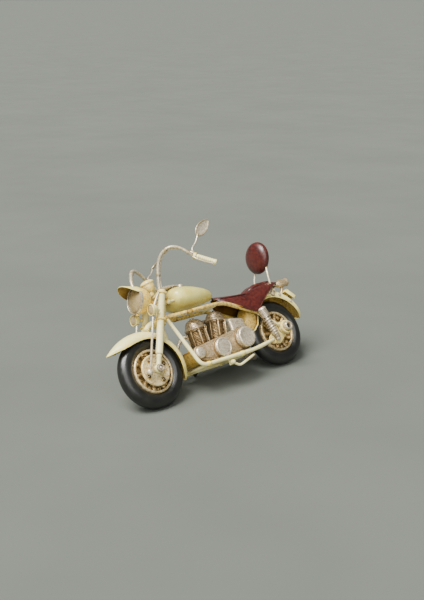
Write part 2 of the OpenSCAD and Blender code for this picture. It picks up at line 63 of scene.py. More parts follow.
# Bike axes: X forward from the rear axle, Y to its left, Z up from the axles
BIKE = (
    Matrix.Translation((BOX_MID[0] * MM, BOX_MID[1] * MM, AXLE_H * MM))
    @ Matrix.Rotation(math.pi, 4, "Z")
    @ Matrix.Rotation(LEAN, 4, "X")
    @ Matrix.Scale(MM, 4)
)
# Steering axes, in bike axes: Z up the steering axis, X square to it and forward
IN_STEER = Matrix.Translation(HEAD) @ Matrix.Rotation(-RAKE, 4, "Y")


# ---------------------------------------------------------------- materials
VIVID = 1.45  # the view transform greys colours, so they start out stronger


def srgb(r, g, b, vivid=VIVID):
    """Linear colour of an 8-bit screen colour, made more vivid."""
    linear = [((c / 255 + 0.055) / 1.055) ** 2.4 for c in (r, g, b)]
    grey = 0.2126 * linear[0] + 0.7152 * linear[1] + 0.0722 * linear[2]
    return [min(max(grey + (c - grey) * vivid, 0.002), 0.95) for c in linear] + [1]


class Finish:
    """A node material, built step by step."""

    def __init__(self, name):
        self.material = bpy.data.materials.new(name)
        self.material.use_nodes = True
        self.tree = self.material.node_tree
        self.shader = self.tree.nodes["Principled BSDF"]
        self.place = self.node("ShaderNodeTexCoord").outputs["Object"]

    def node(self, kind, inputs=None, **settings):
        made = self.tree.nodes.new(kind)
        for key, value in settings.items():
            setattr(made, key, value)
        for key, value in (inputs or {}).items():
            if isinstance(value, bpy.types.NodeSocket):
                self.tree.links.new(value, made.inputs[key])
            else:
                made.inputs[key].default_value = value
        return made

    def link(self, source, socket):
        self.tree.links.new(source, self.shader.inputs[socket])

    def noise(self, size_mm, detail=3.0, roughness=0.55, distortion=0.0):
        made = self.node(
            "ShaderNodeTexNoise",
            {"Vector": self.place, "Scale": 1000 / size_mm, "Detail": detail, "Roughness": roughness,
             "Distortion": distortion},
        )
        return made.outputs["Fac"]

    def cells(self, size_mm, smooth=0.6):
        made = self.node(
            "ShaderNodeTexVoronoi",
            {"Vector": self.place, "Scale": 1000 / size_mm, "Smoothness": smooth},
            feature="SMOOTH_F1",
        )
        return made.outputs["Distance"]

    def remap(self, value, low, high, out_low=0.0, out_high=1.0):
        made = self.node(
            "ShaderNodeMapRange",
            {"Value": value, "From Min": low, "From Max": high, "To Min": out_low, "To Max": out_high},
            interpolation_type="SMOOTHSTEP",
        )
        return made.outputs["Result"]

    def math(self, operation, a, b):
        return self.node("ShaderNodeMath", {0: a, 1: b}, operation=operation).outputs[0]

    def mix(self, factor, a, b):
        made = self.node("ShaderNodeMix", data_type="RGBA")
        for socket, value in zip((made.inputs[0], made.inputs[6], made.inputs[7]), (factor, a, b)):
            if isinstance(value, bpy.types.NodeSocket):
                self.tree.links.new(value, socket)
            else:
                socket.default_value = value
        return made.outputs[2]

    def recess(self, distance_mm, low=0.4, high=0.92):
        """1 deep in corners and 0 on open faces."""
        made = self.node("ShaderNodeAmbientOcclusion", {"Distance": distance_mm * MM}, samples=6)
        return self.remap(made.outputs["AO"], high, low)

    def edge(self, distance_mm, low=0.55, high=0.25):
        """1 on outer edges and 0 on open faces."""
        made = self.node("ShaderNodeAmbientOcclusion", {"Distance": distance_mm * MM}, samples=6, inside=True)
        return self.remap(made.outputs["AO"], low, low + high)

    def bump(self, height, distance_mm, strength, under=None):
        inputs = {"Height": height, "Distance": distance_mm * MM, "Strength": strength}
        if under is not None:
            inputs["Normal"] = under
        return self.node("ShaderNodeBump", inputs).outputs["Normal"]


def patina(name, base, tone, wash_and_shade, metallic=0.0, rough=(0.35, 0.55), wash_and_shade_amount=1.0, reach=3.0,
           hammer=0.0, grain=0.25, edge_light=None, speckle=0.0, coat=0.0):
    """Hand-painted metal: blotchy base colour, a darker brown in the corners that is partly patina and partly painted
    shade, and lighter rubbed edges.
    """
    base, tone, wash_and_shade = srgb(*base), srgb(*tone), srgb(*wash_and_shade)
    f = Finish(name)
    blotch = f.remap(f.noise(7.0, 4.0), 0.38, 0.66)
    colour = f.mix(blotch, base, tone)
    streak = f.remap(f.noise(2.4, 5.0, 0.65, 0.4), 0.42, 0.7)
    broken = f.remap(f.noise(1.6, 3.0), 0.25, 0.7, 0.55, 1.0)
    # Darker brown towards corners and recesses: partly patina, partly painted shade.
    deep = f.math("MULTIPLY", f.recess(reach), broken)
    deep = f.math("MULTIPLY", deep, wash_and_shade_amount)
    colour = f.mix(deep, colour, wash_and_shade)
    if speckle:
        spots = f.math("MULTIPLY", f.math("MULTIPLY", streak, f.remap(f.noise(0.7, 2.0), 0.5, 0.68)), speckle)
        colour = f.mix(spots, colour, wash_and_shade)
    if edge_light:
        rubbed = f.math("MULTIPLY", f.edge(0.7), f.remap(f.noise(1.1, 3.0), 0.35, 0.6, 0.2, 0.85))
        colour = f.mix(rubbed, colour, srgb(*edge_light))
    f.link(colour, "Base Color")
    f.link(f.remap(f.noise(1.3, 4.0), 0.3, 0.7, *rough), "Roughness")
    f.shader.inputs["Metallic"].default_value = metallic
    f.shader.inputs["Coat Weight"].default_value = coat
    f.shader.inputs["Coat Roughness"].default_value = 0.25
    normal = f.bump(f.noise(0.45, 2.0), 0.05, grain)
    normal = f.bump(f.noise(3.2, 2.0), 0.25, 0.35, normal)
    if hammer:
        normal = f.bump(f.cells(1.9), 0.35, hammer, normal)
    f.link(normal, "Normal")
    return f.material


CREAM = patina("cream_enamel", (248, 238, 180), (240, 220, 150), (112, 78, 30), rough=(0.3, 0.48),
               reach=3.8, edge_light=(250, 244, 212), speckle=0.35, coat=0.2)
WARM = patina("warm_enamel", (236, 208, 140), (222, 184, 108), (84, 56, 22), rough=(0.3, 0.46),
              reach=3.6, edge_light=(250, 240, 196), speckle=0.3, coat=0.25)
GOLD = patina("gold_enamel", (216, 176, 100), (196, 148, 72), (70, 46, 18), rough=(0.3, 0.46),
              reach=4.0, edge_light=(246, 228, 170), speckle=0.35, coat=0.25)
# The wide reach darkens the tank's lower side: painted shade under the tank.
TANK = patina("tank_enamel", (228, 222, 166), (218, 208, 148), (92, 66, 26), rough=(0.26, 0.4),
              reach=6.0, coat=0.4, speckle=0.2)
# Ochre stands for patina on the cream paint and also for painted shade on undersides and insides.
OCHRE = patina("ochre_patina_and_shade", (166, 130, 68), (118, 86, 38), (60, 38, 15), rough=(0.4, 0.62),
               reach=5.0, speckle=0.75, edge_light=(236, 218, 162))
SHADE = patina("shaded_ochre", (112, 86, 46), (84, 60, 30), (36, 24, 12), rough=(0.5, 0.7),
               reach=5.0, speckle=0.6)
# Darker brown for the inside of the visor: painted shade under its peak.
VISOR = patina("visor_inside_shade", (148, 124, 84), (116, 92, 56), (60, 42, 20), rough=(0.4, 0.6),
               reach=5.0, speckle=0.5)
SILVER = patina("silver_paint", (204, 192, 172), (178, 162, 138), (58, 42, 26), metallic=0.6,
                rough=(0.22, 0.38), reach=2.8, hammer=0.22, edge_light=(240, 232, 216),
                speckle=0.25)
WIRE = patina("wire_silver", (196, 184, 162), (164, 148, 118), (88, 64, 36), metallic=0.5,
              rough=(0.26, 0.44), reach=2.4, hammer=0.15, edge_light=(238, 230, 212),
              speckle=0.6)
CHAMPAGNE = patina("champagne_metal", (174, 152, 122), (150, 126, 96), (46, 33, 21), metallic=0.6,
                   rough=(0.26, 0.44), reach=3.2, hammer=0.15, edge_light=(222, 206, 180),
                   speckle=0.35)
BRASS = patina("brass_metal", (136, 118, 94), (104, 87, 66), (34, 25, 17), metallic=0.6,
               rough=(0.28, 0.46), reach=2.8, hammer=0.2, edge_light=(214, 194, 162),
               speckle=0.7)
BRONZE = patina("bronze_metal", (124, 112, 98), (98, 84, 68), (36, 25, 17), metallic=0.65,
                rough=(0.24, 0.42), reach=2.4, hammer=0.35, edge_light=(200, 186, 164),
                speckle=0.6)
RIM = patina("rim_bronze", (92, 70, 46), (54, 38, 22), (20, 13, 8), metallic=0.5,
             rough=(0.28, 0.48), reach=3.6, hammer=0.8, edge_light=(214, 192, 152), speckle=1.0)
RIM_EDGE = patina("rim_edge", (174, 150, 116), (138, 112, 78), (50, 34, 20), metallic=0.5,
                  rough=(0.26, 0.42), reach=2.0, hammer=0.25, edge_light=(240, 226, 194),
                  speckle=0.5)
PLATE = patina("plate_patina", (206, 184, 138), (164, 132, 82), (70, 46, 22), metallic=0.25,
               rough=(0.32, 0.5), reach=5.0, hammer=0.25, edge_light=(242, 230, 196),
               speckle=0.5)
LENS = patina("silvered_lens", (196, 180, 152), (176, 158, 124), (86, 64, 40), metallic=0.3,
              rough=(0.22, 0.36), wash_and_shade_amount=0.85, reach=1.8, hammer=0.3, grain=0.15, speckle=0.6, coat=0.4)
# Near-black for the floors of holes and rings: painted shade in the hollows.
HOLE_SHADE = patina("painted_hole_shade", (44, 34, 24), (26, 20, 14), (12, 10, 8), rough=(0.5, 0.7), wash_and_shade_amount=0.9)
PEG = patina("peg_rubber", (46, 42, 36), (34, 30, 26), (18, 14, 10), rough=(0.55, 0.75), grain=0.6, wash_and_shade_amount=0.9)
RED = patina("tail_red", (132, 34, 26), (104, 22, 18), (50, 12, 8), rough=(0.18, 0.3), coat=0.6, wash_and_shade_amount=0.9)


def burgundy():
    """Hard, satin burgundy skin with a fine leather grain and faint brush streaks."""
    f = Finish("burgundy_skin")
    colour = f.mix(f.remap(f.noise(9.0, 4.0), 0.35, 0.68), srgb(60, 23, 22), srgb(43, 15, 14))
    # Darker in the recesses and creases: painted shade.
    colour = f.mix(f.math("MULTIPLY", f.recess(3.0), 0.9), colour, srgb(26, 11, 9))
    rubbed = f.math("MULTIPLY", f.edge(0.6), f.remap(f.noise(1.6, 4.0), 0.4, 0.62, 0.0, 0.4))
    colour = f.mix(rubbed, colour, srgb(100, 54, 47))
    scuffs = f.math("MULTIPLY", f.remap(f.noise(0.9, 5.0, 0.7, 1.2), 0.6, 0.74), 0.25)
    colour = f.mix(scuffs, colour, srgb(118, 72, 64))
    f.link(colour, "Base Color")
    f.link(f.remap(f.noise(1.8, 3.0), 0.3, 0.7, 0.3, 0.42), "Roughness")
    f.shader.inputs["Coat Weight"].default_value = 0.4
    f.shader.inputs["Coat Roughness"].default_value = 0.32
    normal = f.bump(f.cells(0.42, 0.3), 0.05, 0.35)
    normal = f.bump(f.noise(4.5, 2.0), 0.25, 0.3, normal)
    f.link(normal, "Normal")
    return f.material


def rubber():
    """Satin black tyre rubber with a little dust in the corners."""
    f = Finish("tyre_rubber")
    colour = f.mix(f.remap(f.noise(6.0, 4.0), 0.3, 0.7), srgb(16, 16, 15), srgb(25, 25, 23))
    dust = f.math("MULTIPLY", f.recess(2.2), f.remap(f.noise(1.1, 4.0), 0.35, 0.7, 0.1, 0.6))
    colour = f.mix(dust, colour, srgb(78, 68, 50))
    f.link(colour, "Base Color")
    f.link(f.remap(f.noise(2.4, 4.0), 0.3, 0.7, 0.3, 0.42), "Roughness")
    f.shader.inputs["Specular IOR Level"].default_value = 0.75
    normal = f.bump(f.noise(0.35, 3.0), 0.04, 0.35)
    f.link(normal, "Normal")
    return f.material


SKIN = burgundy()
TYRE = rubber()


# ---------------------------------------------------------------- shapes
def around(n):
    """Angles of n even steps round a circle."""
    return [2 * math.pi * k / n for k in range(n)]


def soften(points, cut, steps=5):
    """Rounds every inner corner of a line of points over the length cut."""
    points = [Vector(p) for p in points]
    if cut <= 0:
        return points
    out = [points[0]]
    for before, corner, after in zip(points, points[1:], points[2:]):
        a = corner + (before - corner).normalized() * min(cut, (before - corner).length * 0.49)
        b = corner + (after - corner).normalized() * min(cut, (after - corner).length * 0.49)
        for k in range(steps + 1):
            t = k / steps
            out.append(a * (1 - t) ** 2 + corner * 2 * t * (1 - t) + b * t * t)
    out.append(points[-1])
    return out


def spline(points, steps=6):
    """Smooth line through every point."""
    points = [Vector(p) for p in points]
    ends = [points[0] * 2 - points[1]] + points + [points[-1] * 2 - points[-2]]
    out = []
    for p0, p1, p2, p3 in zip(ends, ends[1:], ends[2:], ends[3:]):
        for k in range(steps):
            t = k / steps
            out.append(0.5 * (2 * p1 + (p2 - p0) * t + (2 * p0 - 5 * p1 + 4 * p2 - p3) * t ** 2
                              + (3 * p1 - p0 - 3 * p2 + p3) * t ** 3))
    out.append(points[-1])
    return out


def along(origin, direction, up=(0, 0, 1)):
    """Axes with Z along direction and X as near up as it gets."""
    z = Vector(direction).normalized()
    up = Vector(up)
    x = up - z * up.dot(z)
    if x.length < 1e-6:
        x = Vector((1, 0, 0)) - z * z.x
    x.normalize()
    y = z.cross(x)
    m = Matrix((x, y, z)).transposed().to_4x4()
    return Matrix.Translation(Vector(origin)) @ m


def sideways(x, z, y0=0.0, side=1):
    """Axes with Z out to one side of the bike, at (x, z) in its side plane."""
    return along((x, side * y0, z), (0, side, 0), (1, 0, 0))


class Shape:
    """Faces of one piece, in millimetres."""

    def __init__(self):
        self.verts = []
        self.faces = []
        self.slots = []

    def skin(self, rings, ring_closed=True, path_closed=False, caps=True, slot=0):
        """Faces between rings that have the same number of points, and a cap on each end ring."""
        base, n, m = len(self.verts), len(rings[0]), len(rings)
        for ring in rings:
            self.verts += [Vector(p) for p in ring]
        made = []
        for i in range(m if path_closed else m - 1):
            j = (i + 1) % m
            for k in range(n if ring_closed else n - 1):
                other = (k + 1) % n
                made.append((base + i * n + k, base + i * n + other, base + j * n + other, base + j * n + k))
        if caps and ring_closed and not path_closed:
            made.append(tuple(base + k for k in reversed(range(n))))
            made.append(tuple(base + (m - 1) * n + k for k in range(n)))
        self.faces += made
        self.slots += [slot] * len(made)
        return self

    def turn(self, profile, at=Matrix(), n=40, start=0.0, stop=360.0, closed=False, slot=0, wave=None):
        """Revolves (radius, height) points about Z of at. wave(angle, radius, height) may change a radius."""
        full = stop - start >= 359.9
        rings = []
        for i in range(n if full else n + 1):
            a = math.radians(start + (stop - start) * i / n)
            ring = []
            for r, z in profile:
                if wave:
                    r = wave(a, r, z)
                ring.append(at @ Vector((r * math.cos(a), r * math.sin(a), z)))
            rings.append(ring)
        return self.skin(rings, ring_closed=closed, path_closed=full, caps=closed and not full, slot=slot)

    def bar(self, points, radius, cut=0.0, n=12, smooth=False, slot=0):
        """Round bar along a line. radius is a number, or a list of (share of length, radius)."""
        path = spline(points) if smooth else soften(points, cut)
        lengths = [0.0]
        for a, b in zip(path, path[1:]):
            lengths.append(lengths[-1] + (b - a).length)
        total = lengths[-1] or 1.0

        def radius_at(share):
            if not isinstance(radius, (list, tuple)):
                return radius
            for (s0, r0), (s1, r1) in zip(radius, radius[1:]):
                if share <= s1:
                    return r0 + (r1 - r0) * (share - s0) / max(s1 - s0, 1e-9)
            return radius[-1][1]

        rows = [(s, p, radius_at(s / total)) for p, s in zip(path, lengths)]
        if isinstance(radius, (list, tuple)):
            for share, r in radius[1:-1]:
                place = share * total
                k = min(max(i for i, s in enumerate(lengths) if s <= place), len(path) - 2)
                t = (place - lengths[k]) / max(lengths[k + 1] - lengths[k], 1e-9)
                rows.append((place, path[k].lerp(path[k + 1], t), r))
            rows.sort(key=lambda row: row[0])
        rows = [(p, r) for _, p, r in rows]
        # each end is rounded off in two steps
        r0, r1 = rows[0][1], rows[-1][1]
        d0 = (path[0] - path[1]).normalized()
        d1 = (path[-1] - path[-2]).normalized()
        rows[-1] = (path[-1] - d1 * r1 * 0.42, r1)
        rows = ([(path[0], r0 * 0.45), (path[0] - d0 * r0 * 0.12, r0 * 0.82), (rows[0][0] - d0 * r0 * 0.42, r0)]
                + rows[1:] + [(path[-1] - d1 * r1 * 0.12, r1 * 0.82), (path[-1], r1 * 0.45)])
        tangent = (rows[1][0] - rows[0][0]).normalized()
        side = tangent.cross(Vector((0, 1, 0)))
        if side.length < 1e-3:
            side = tangent.cross(Vector((0, 0, 1)))
        side.normalize()
        rings = []
        for i, (p, r) in enumerate(rows):
            a, b = rows[max(i - 1, 0)][0], rows[min(i + 1, len(rows) - 1)][0]
            if (b - a).length > 1e-6:
                tangent = (b - a).normalized()
            side = (side - tangent * side.dot(tangent)).normalized()
            other = tangent.cross(side)
            rings.append([p + r * (math.cos(a) * side + math.sin(a) * other) for a in around(n)])
        return self.skin(rings, slot=slot)

    def ball(self, centre, radius, n=20, stretch=(1, 1, 1), at=Matrix(), slot=0):
        """Ball, or an egg where stretch gives other lengths along the axes."""
        centre = Vector(centre)
        rings = []
        for a in around(n):
            ring = []
            for k in range(n // 2 + 1):
                b = math.pi * k / (n // 2)
                p = Vector((math.sin(b) * math.cos(a), math.sin(b) * math.sin(a), math.cos(b)))
                ring.append(at @ (centre + Vector([p[j] * radius * stretch[j] for j in range(3)])))
            rings.append(ring)
        return self.skin(rings, ring_closed=False, path_closed=True, caps=False, slot=slot)

    def block(self, low, high, round_by=0.5, at=Matrix(), slot=0):
        """Box with rounded edges, as a stack of rounded rectangles."""
        low, high = Vector(low), Vector(high)
        r = min(round_by, min(high - low) * 0.49)
        mid, half = (low + high) / 2, (high - low) / 2
        rings = []
        for z, inset in ((-half.z, r), (-half.z + r * 0.3, r * 0.3), (-half.z + r, 0), (half.z - r, 0),
                         (half.z - r * 0.3, r * 0.3), (half.z, r)):
            ring = []
            hx, hy = half.x - inset, half.y - inset
            c = max(r - inset, r * 0.15)
            for q in range(4):
                sx, sy = ((1, 1), (-1, 1), (-1, -1), (1, -1))[q]
                for k in range(4):
                    a = math.pi / 2 * q + math.pi / 6 * k
                    ring.append(at @ (mid + Vector((sx * (hx - c) + c * math.cos(a),
                                                    sy * (hy - c) + c * math.sin(a), z))))
            rings.append(ring)
        return self.skin(rings, slot=slot)

    def plate(self, outline, y0, y1, side=1, round_by=0.4, slot=0):
        """Flat plate in the bike's side plane, from an outline of (x, z), with rounded edges."""
        mid = Vector((sum(p[0] for p in outline) / len(outline), sum(p[1] for p in outline) / len(outline)))
        rings = []
        for y, inset in ((y0, round_by), (y0 + round_by * 0.3, round_by * 0.3), (y0 + round_by, 0),
                         (y1 - round_by, 0), (y1 - round_by * 0.3, round_by * 0.3), (y1, round_by)):
            ring = []
            for p in outline:
                v = Vector(p) - mid
                v *= max(v.length - inset, 0.01) / v.length
                ring.append((mid.x + v.x, side * y, mid.y + v.y))
            rings.append(ring)
        return self.skin(rings, slot=slot)


def outline_of(circles, n=56):
    """Outline round several circles (x, z, r) in the side plane."""
    points = sorted(
        (x + r * math.cos(a), z + r * math.sin(a)) for x, z, r in circles for a in around(n)
    )

    def half(line):
        kept = []
        for p in line:
            while len(kept) > 1 and (
                (kept[-1][0] - kept[-2][0]) * (p[1] - kept[-2][1])
                - (kept[-1][1] - kept[-2][1]) * (p[0] - kept[-2][0])
            ) <= 1e-9:
                kept.pop()
            kept.append(p)
        return kept[:-1]

    return half(points) + half(points[::-1])


def piece(name, shape, material, body, nodes=(), at=BIKE, subdivide=0, thick=0.0,
          inner=None, sharp=35.0, extra=()):
    """Makes an object from a shape and ties it to its body and to the CAD nodes it stands for."""
    mesh = bpy.data.meshes.new(name)
    mesh.from_pydata([at @ v for v in shape.verts], [], shape.faces)
    mesh.materials.append(material)
    for more in extra:
        mesh.materials.append(more)
    if inner is not None:
        mesh.materials.append(inner)
    mesh.polygons.foreach_set("material_index", shape.slots)
    bm = bmesh.new()
    bm.from_mesh(mesh)
    bmesh.ops.remove_doubles(bm, verts=bm.verts, dist=2e-6)
    bmesh.ops.dissolve_degenerate(bm, edges=bm.edges, dist=1e-7)
    bmesh.ops.recalc_face_normals(bm, faces=bm.faces)
    bm.to_mesh(mesh)
    bm.free()
    mesh.polygons.foreach_set("use_smooth", [True] * len(mesh.polygons))
    if not subdivide:
        mesh.set_sharp_from_angle(angle=math.radians(sharp))
    obj = bpy.data.objects.new(name, mesh)
    bpy.context.scene.collection.objects.link(obj)
    if thick:
        shell = obj.modifiers.new("sheet", "SOLIDIFY")
        shell.thickness = thick * MM
        shell.offset = -1
        if inner is not None:
            shell.material_offset = 1
    if subdivide:
        smooth = obj.modifiers.new("smooth", "SUBSURF")
        smooth.levels = smooth.render_levels = subdivide
    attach(obj, body)
    if nodes:
        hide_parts(*nodes)
    return obj


def mirrored(make):
    """Builds a shape for both sides of the bike: make(shape, side)."""
    shape = Shape()
    for side in (1, -1):
        make(shape, side)
    return shape


def lerp_table(table, x):
    """Straight-line lookup in rows of (x, values...)."""
    rows = sorted(table)
    if x <= rows[0][0]:
        return rows[0][1:]
    for a, b in zip(rows, rows[1:]):
        if x <= b[0]:
            t = (x - a[0]) / (b[0] - a[0])
            t = t * t * (3 - 2 * t) * 0.5 + t * 0.5
            return tuple(p + (q - p) * t for p, q in zip(a[1:], b[1:]))
    return rows[-1][1:]


# ---------------------------------------------------------------- wheels
# Shallow groove and ridges on a tyre: angle from the tread, width in degrees, height
TREAD_LINES = ((0, 3.0, -0.10), (62, 5, 0.10), (-62, 5, 0.10), (104, 7, 0.16), (-104, 7, 0.16))
TYRE_SWEEP = 142
SPOKES = 10
AXLE_R = 1.2


def tyre(name, body, centre, node):
    """Round rubber tyre about the axle at x = centre."""
    at = sideways(centre, 0)
    section = []
    for k in range(49):
        a = math.radians(TYRE_SWEEP * (k / 24 - 1))
        r = TUBE_R
        for ridge, width, height in TREAD_LINES:
            r += height * math.exp(-((math.degrees(a) - ridge) / width) ** 2)
        section.append((TUBE_MID + min(r, TUBE_R) * math.cos(a), r * math.sin(a) * 0.98))
    shape = Shape().turn(section, at, n=96, closed=True)
    piece(name, shape, TYRE, body, [node], sharp=60)


def wheel(name, body, centre):
    """Pale rim ring, cast spokes on a thin disc, and a hub round the axle."""
    at = sideways(centre, 0)
    half = [(13.5, 4.05), (13.1, 4.4), (12.9, 4.5), (12.6, 4.45), (12.1, 4.35), (11.95, 4.1), (11.9, 3.3),
            (12.1, 2.7), (12.3, 2.4)]
    edge = Shape().turn(half + [(r, -z) for r, z in reversed(half)], at, n=96, closed=True)
    piece(name + "_rim", edge, RIM_EDGE, body, [body], sharp=50)
    cast = Shape()
    cast.turn([(12.35, 1.0), (3.4, 1.0), (3.4, -1.0), (12.35, -1.0)], at, n=72, closed=True)
    for k in range(SPOKES):
        spoke = at @ Matrix.Rotation(2 * math.pi * k / SPOKES, 4, "Z")
        between = at @ Matrix.Rotation(2 * math.pi * (k + 0.5) / SPOKES, 4, "Z")
        for z in (1, -1):
            cast.bar([spoke @ Vector(p) for p in ((3.6, 0, 2.1 * z), (6.2, 0.4, 2.9 * z), (9, -0.3, 2.5 * z),
                                                  (12.2, 0, 3.1 * z))],
                     [(0, 1.1), (0.35, 1.3), (0.65, 0.95), (1, 1.6)], smooth=True, n=10)
            cast.ball((0, 0, 0), 1.5, 12, (1, 1.1, 0.8),
                      between @ Matrix.Translation((10.8, 0.3 * (k % 3 - 1), 1.9 * z)))
    piece(name + "_spokes", cast, RIM, body, (), sharp=60)
    half = [(AXLE_R + 0.06, 4.9), (2.9, 4.9), (3.6, 4.3), (3.3, 3.2), (3.9, 2.2)]
    hub = Shape().turn(half + [(r, -z) for r, z in reversed(half)], at, n=36, closed=True)
    piece(name + "_hub", hub, RIM, body, (), sharp=30)


for end, centre in (("front", WHEELBASE), ("rear", 0)):
    tyre("tyre_" + end, end + "_wheel", centre, end + "_tyre")
for end, centre in (("front", WHEELBASE), ("rear", 0)):
    wheel("wheel_" + end, end + "_wheel", centre)


# ---------------------------------------------------------------- frame
def rails(shape, side):
    shape.bar([(81.9, 2.2 * side, 29.3), (66, 9 * side, 27.9), (40, 9 * side, 27.8), (14.5, 9 * side, 15)], 1.3,
              cut=6, n=16)
    shape.ball((66.6, 8.9 * side, 27.9), 1.5, 14, (1.5, 0.9, 0.9))


piece("rails", mirrored(rails), OCHRE, "frame", ["top_rails"])


def lower_bars(shape, side):
    w = CRADLE_W * side
    shape.bar([(81.5, 4 * side, 27.8), (75.5, w, -6.8), (40, w, -7.4), (27, w, -7), (11.5, 10.6 * side, -5.2)],
              [(0, 1.05), (0.2, 1.25), (0.85, 1.3), (1, 1.15)], cut=5, n=16)
    for x, z in ((70, -6.9), (42, -7.35)):
        shape.bar([(x - 1.7, w, z), (x + 1.7, w, z)], 1.62, n=16)
        shape.ball((x, w + 1.5 * side, z), 0.75, 10)


piece("lower_frame", mirrored(lower_bars), CREAM, "frame", ["cradle"])

ties = Shape()
for x, z, reach in ((70, -6.9, 11.2), (42, -7.35, 11.2), (44, 27.8, 8.2)):
    ties.bar([(x, -reach, z), (x, reach, z)], 1.1, n=14)
piece("ties", ties, CREAM, "frame", ["cross_bars"])

head_tube = Shape().turn([(1.65, -3), (3.3, -3), (3.45, -2.6), (3.45, -1.4), (3.05, -1), (3.05, 10.4), (3.45, 10.8),
                          (3.45, 12.1), (3.3, 12.5), (1.65, 12.5)], IN_STEER, n=36, closed=True)
for side in (1, -1):
    head_tube.bar([(83.6, 1.6 * side, 29.4), (82, 2.8 * side, 28.2)], 1.4, n=12)
piece("head_tube", head_tube, WARM, "frame", ["steering_head"])

# Belly pan, from the rear forwards: x, z, half width
PAN_ROWS = ((44, -5.0, 6.6), (45, -5.25, 7.1), (52, -5.3, 7.1), (62, -5.3, 7.1), (63.5, -5.3, 9.6), (65, -5.3, 10.4),
            (72, -5.1, 10.4), (73.6, -3.9, 9.4), (75, -1.2, 8.7), (76.4, 2, 8.6), (77.2, 4.4, 8.4))
pan = [[(x, half * v, z + 0.25 * abs(v) ** 6) for v in [k / 8 - 1 for k in range(17)]] for x, z, half in PAN_ROWS]
piece("belly_pan", Shape().skin(pan, ring_closed=False, caps=False), OCHRE, "frame", ["floor_plate"],
      subdivide=1, thick=0.6)


def stays(shape, side):
    shape.bar([(14.5, 9 * side, 14.6), (9, 10.2 * side, 9), (2.2, 10.4 * side, 2.2)], [(0, 1.2), (0.5, 0.9), (1, 1.1)],
              cut=4)


piece("stays", mirrored(stays), CREAM, "frame", ["rear_stays"])


def drop_outs(shape, side):
    outline = outline_of([(0, 0, 4.6), (10.5, -4.6, 2.7), (6, -7.2, 1.6)], 30)
    shape.plate(outline, 8.0, 9.5, side, 0.35)
    shape.turn([(1.22, 0), (2.6, 0), (2.8, 0.3), (2.8, 0.8), (1.22, 0.8)], sideways(11.5, -5.2, 9.4, side), n=20,
               closed=True)


piece("drop_outs", mirrored(drop_outs), WARM, "frame", ["axle_plates"])


def bosses(shape, side):
    at = sideways(0, 0, 0, side)
    shape.turn([(1.22, 9.4), (3.0, 9.4), (3.0, 12.2), (3.6, 12.7), (4.3, 12.9), (4.5, 13.3), (4.5, 14.1),
                (4.2, 14.6), (3.3, 14.6), (3.2, 14.3), (1.22, 14.3)], at, n=36, closed=True)


piece("axle_bosses", mirrored(bosses), WARM, "frame", ["axle_flanges"])


def sockets(shape, side):
    at = sideways(0, 0, 0, side)
    shape.turn([(1.8, 14.7), (1.85, 16.8), (2.05, 17.15), (2.6, 17.2), (2.95, 16.9), (3.05, 16.4), (2.85, 15.6),
                (3.0, 14.3), (0, 14.3)], at, n=36)


# Dark disc at the floor of each axle socket: painted shade in the hollow.
def socket_shade(shape, side):
    shape.turn([(0, 14.72), (1.8, 14.7)], sideways(0, 0, 0, side), n=36)


piece("axle_ends", mirrored(sockets), SILVER, "frame", ["axle_sockets"], sharp=50)
piece("axle_hollow_shade", mirrored(socket_shade), HOLE_SHADE, "frame", ())
piece("axle_bar", Shape().turn([(0, -14.3), (1.2, -14.3), (1.2, 14.3), (0, 14.3)], sideways(0, 0), n=24), SILVER,
      "frame", ["rear_axle"])


def shock_top(shape, side):
    a, b = Vector((12.8, 11.4 * side, 16.8)), Vector((10.2, 11.3 * side, 5.4))
    at = along(a, b - a, (1, 0, 0))
    long = (b - a).length * 0.56
    profile = [(0, -0.3), (1.9, -0.3), (2.6, 0.1)]
    for k in range(6):
        z = 0.6 + k * (long - 1.0) / 6
        profile += [(3.05, z), (3.1, z + 0.5), (2.7, z + 0.75), (2.7, z + 0.95)]
    shape.turn(profile + [(2.9, long), (1.6, long + 0.2), (0, long + 0.2)], at, n=32)


def shock_coil(shape, side):
    a, b = Vector((11.3, 11.3 * side, 10.4)), Vector((8, 11.2 * side, -5))
    at = along(a, b - a, (1, 0, 0))
    long = (b - a).length
    shape.bar([a, b], 2.0, n=16)
    turns, steps = 7, 16
    shape.bar([at @ Vector((2.3 * math.cos(2 * math.pi * k / steps), 2.3 * math.sin(2 * math.pi * k / steps),
                            0.5 + (long - 3.6) * k / (turns * steps))) for k in range(turns * steps + 1)], 0.5, n=6)
    shape.turn([(0, long - 2.6), (1.9, long - 2.6), (2.1, long - 2.2), (2.0, long - 1.6), (1.5, long - 1.2),
                (0, long - 1.2)], at, n=24)
    shape.bar([at @ Vector((0, 0, long - 1)), (7.6, 9.6 * side, -5.4)], 1.3, n=14)
    shape.ball((7.9, 11.4 * side, -5.2), 1.7, 16, (1.15, 0.9, 1))


piece("shock_sleeves", mirrored(shock_top), SILVER, "frame", ["shock_covers"], sharp=40)
piece("shock_coils", mirrored(shock_coil), SILVER, "frame", ["shock_springs"], sharp=60)

peg = Shape().bar([(62, -12, -6.9), (60, -16.6, -7.5), (57.9, -21.4, -8.1)], [(0, 1.15), (0.25, 1.2), (0.3, 1.35),
                                                                             (1, 1.3)], n=18)
piece("peg", peg, PEG, "frame", ["foot_peg"], sharp=60)

STAND_PIN = (52, -10.5)
ear = Shape().block((50.4, 9.9, -12), (53.6, 10.9, -7.2), 0.4)
ear.turn([(0, 10.8), (0.6, 10.8), (0.6, 13.05), (1.2, 13.1), (1.25, 13.5), (0.9, 13.75), (0, 13.85)],
         sideways(*STAND_PIN), n=20)
piece("stand_ear", ear, CREAM, "frame", ["stand_bracket"])

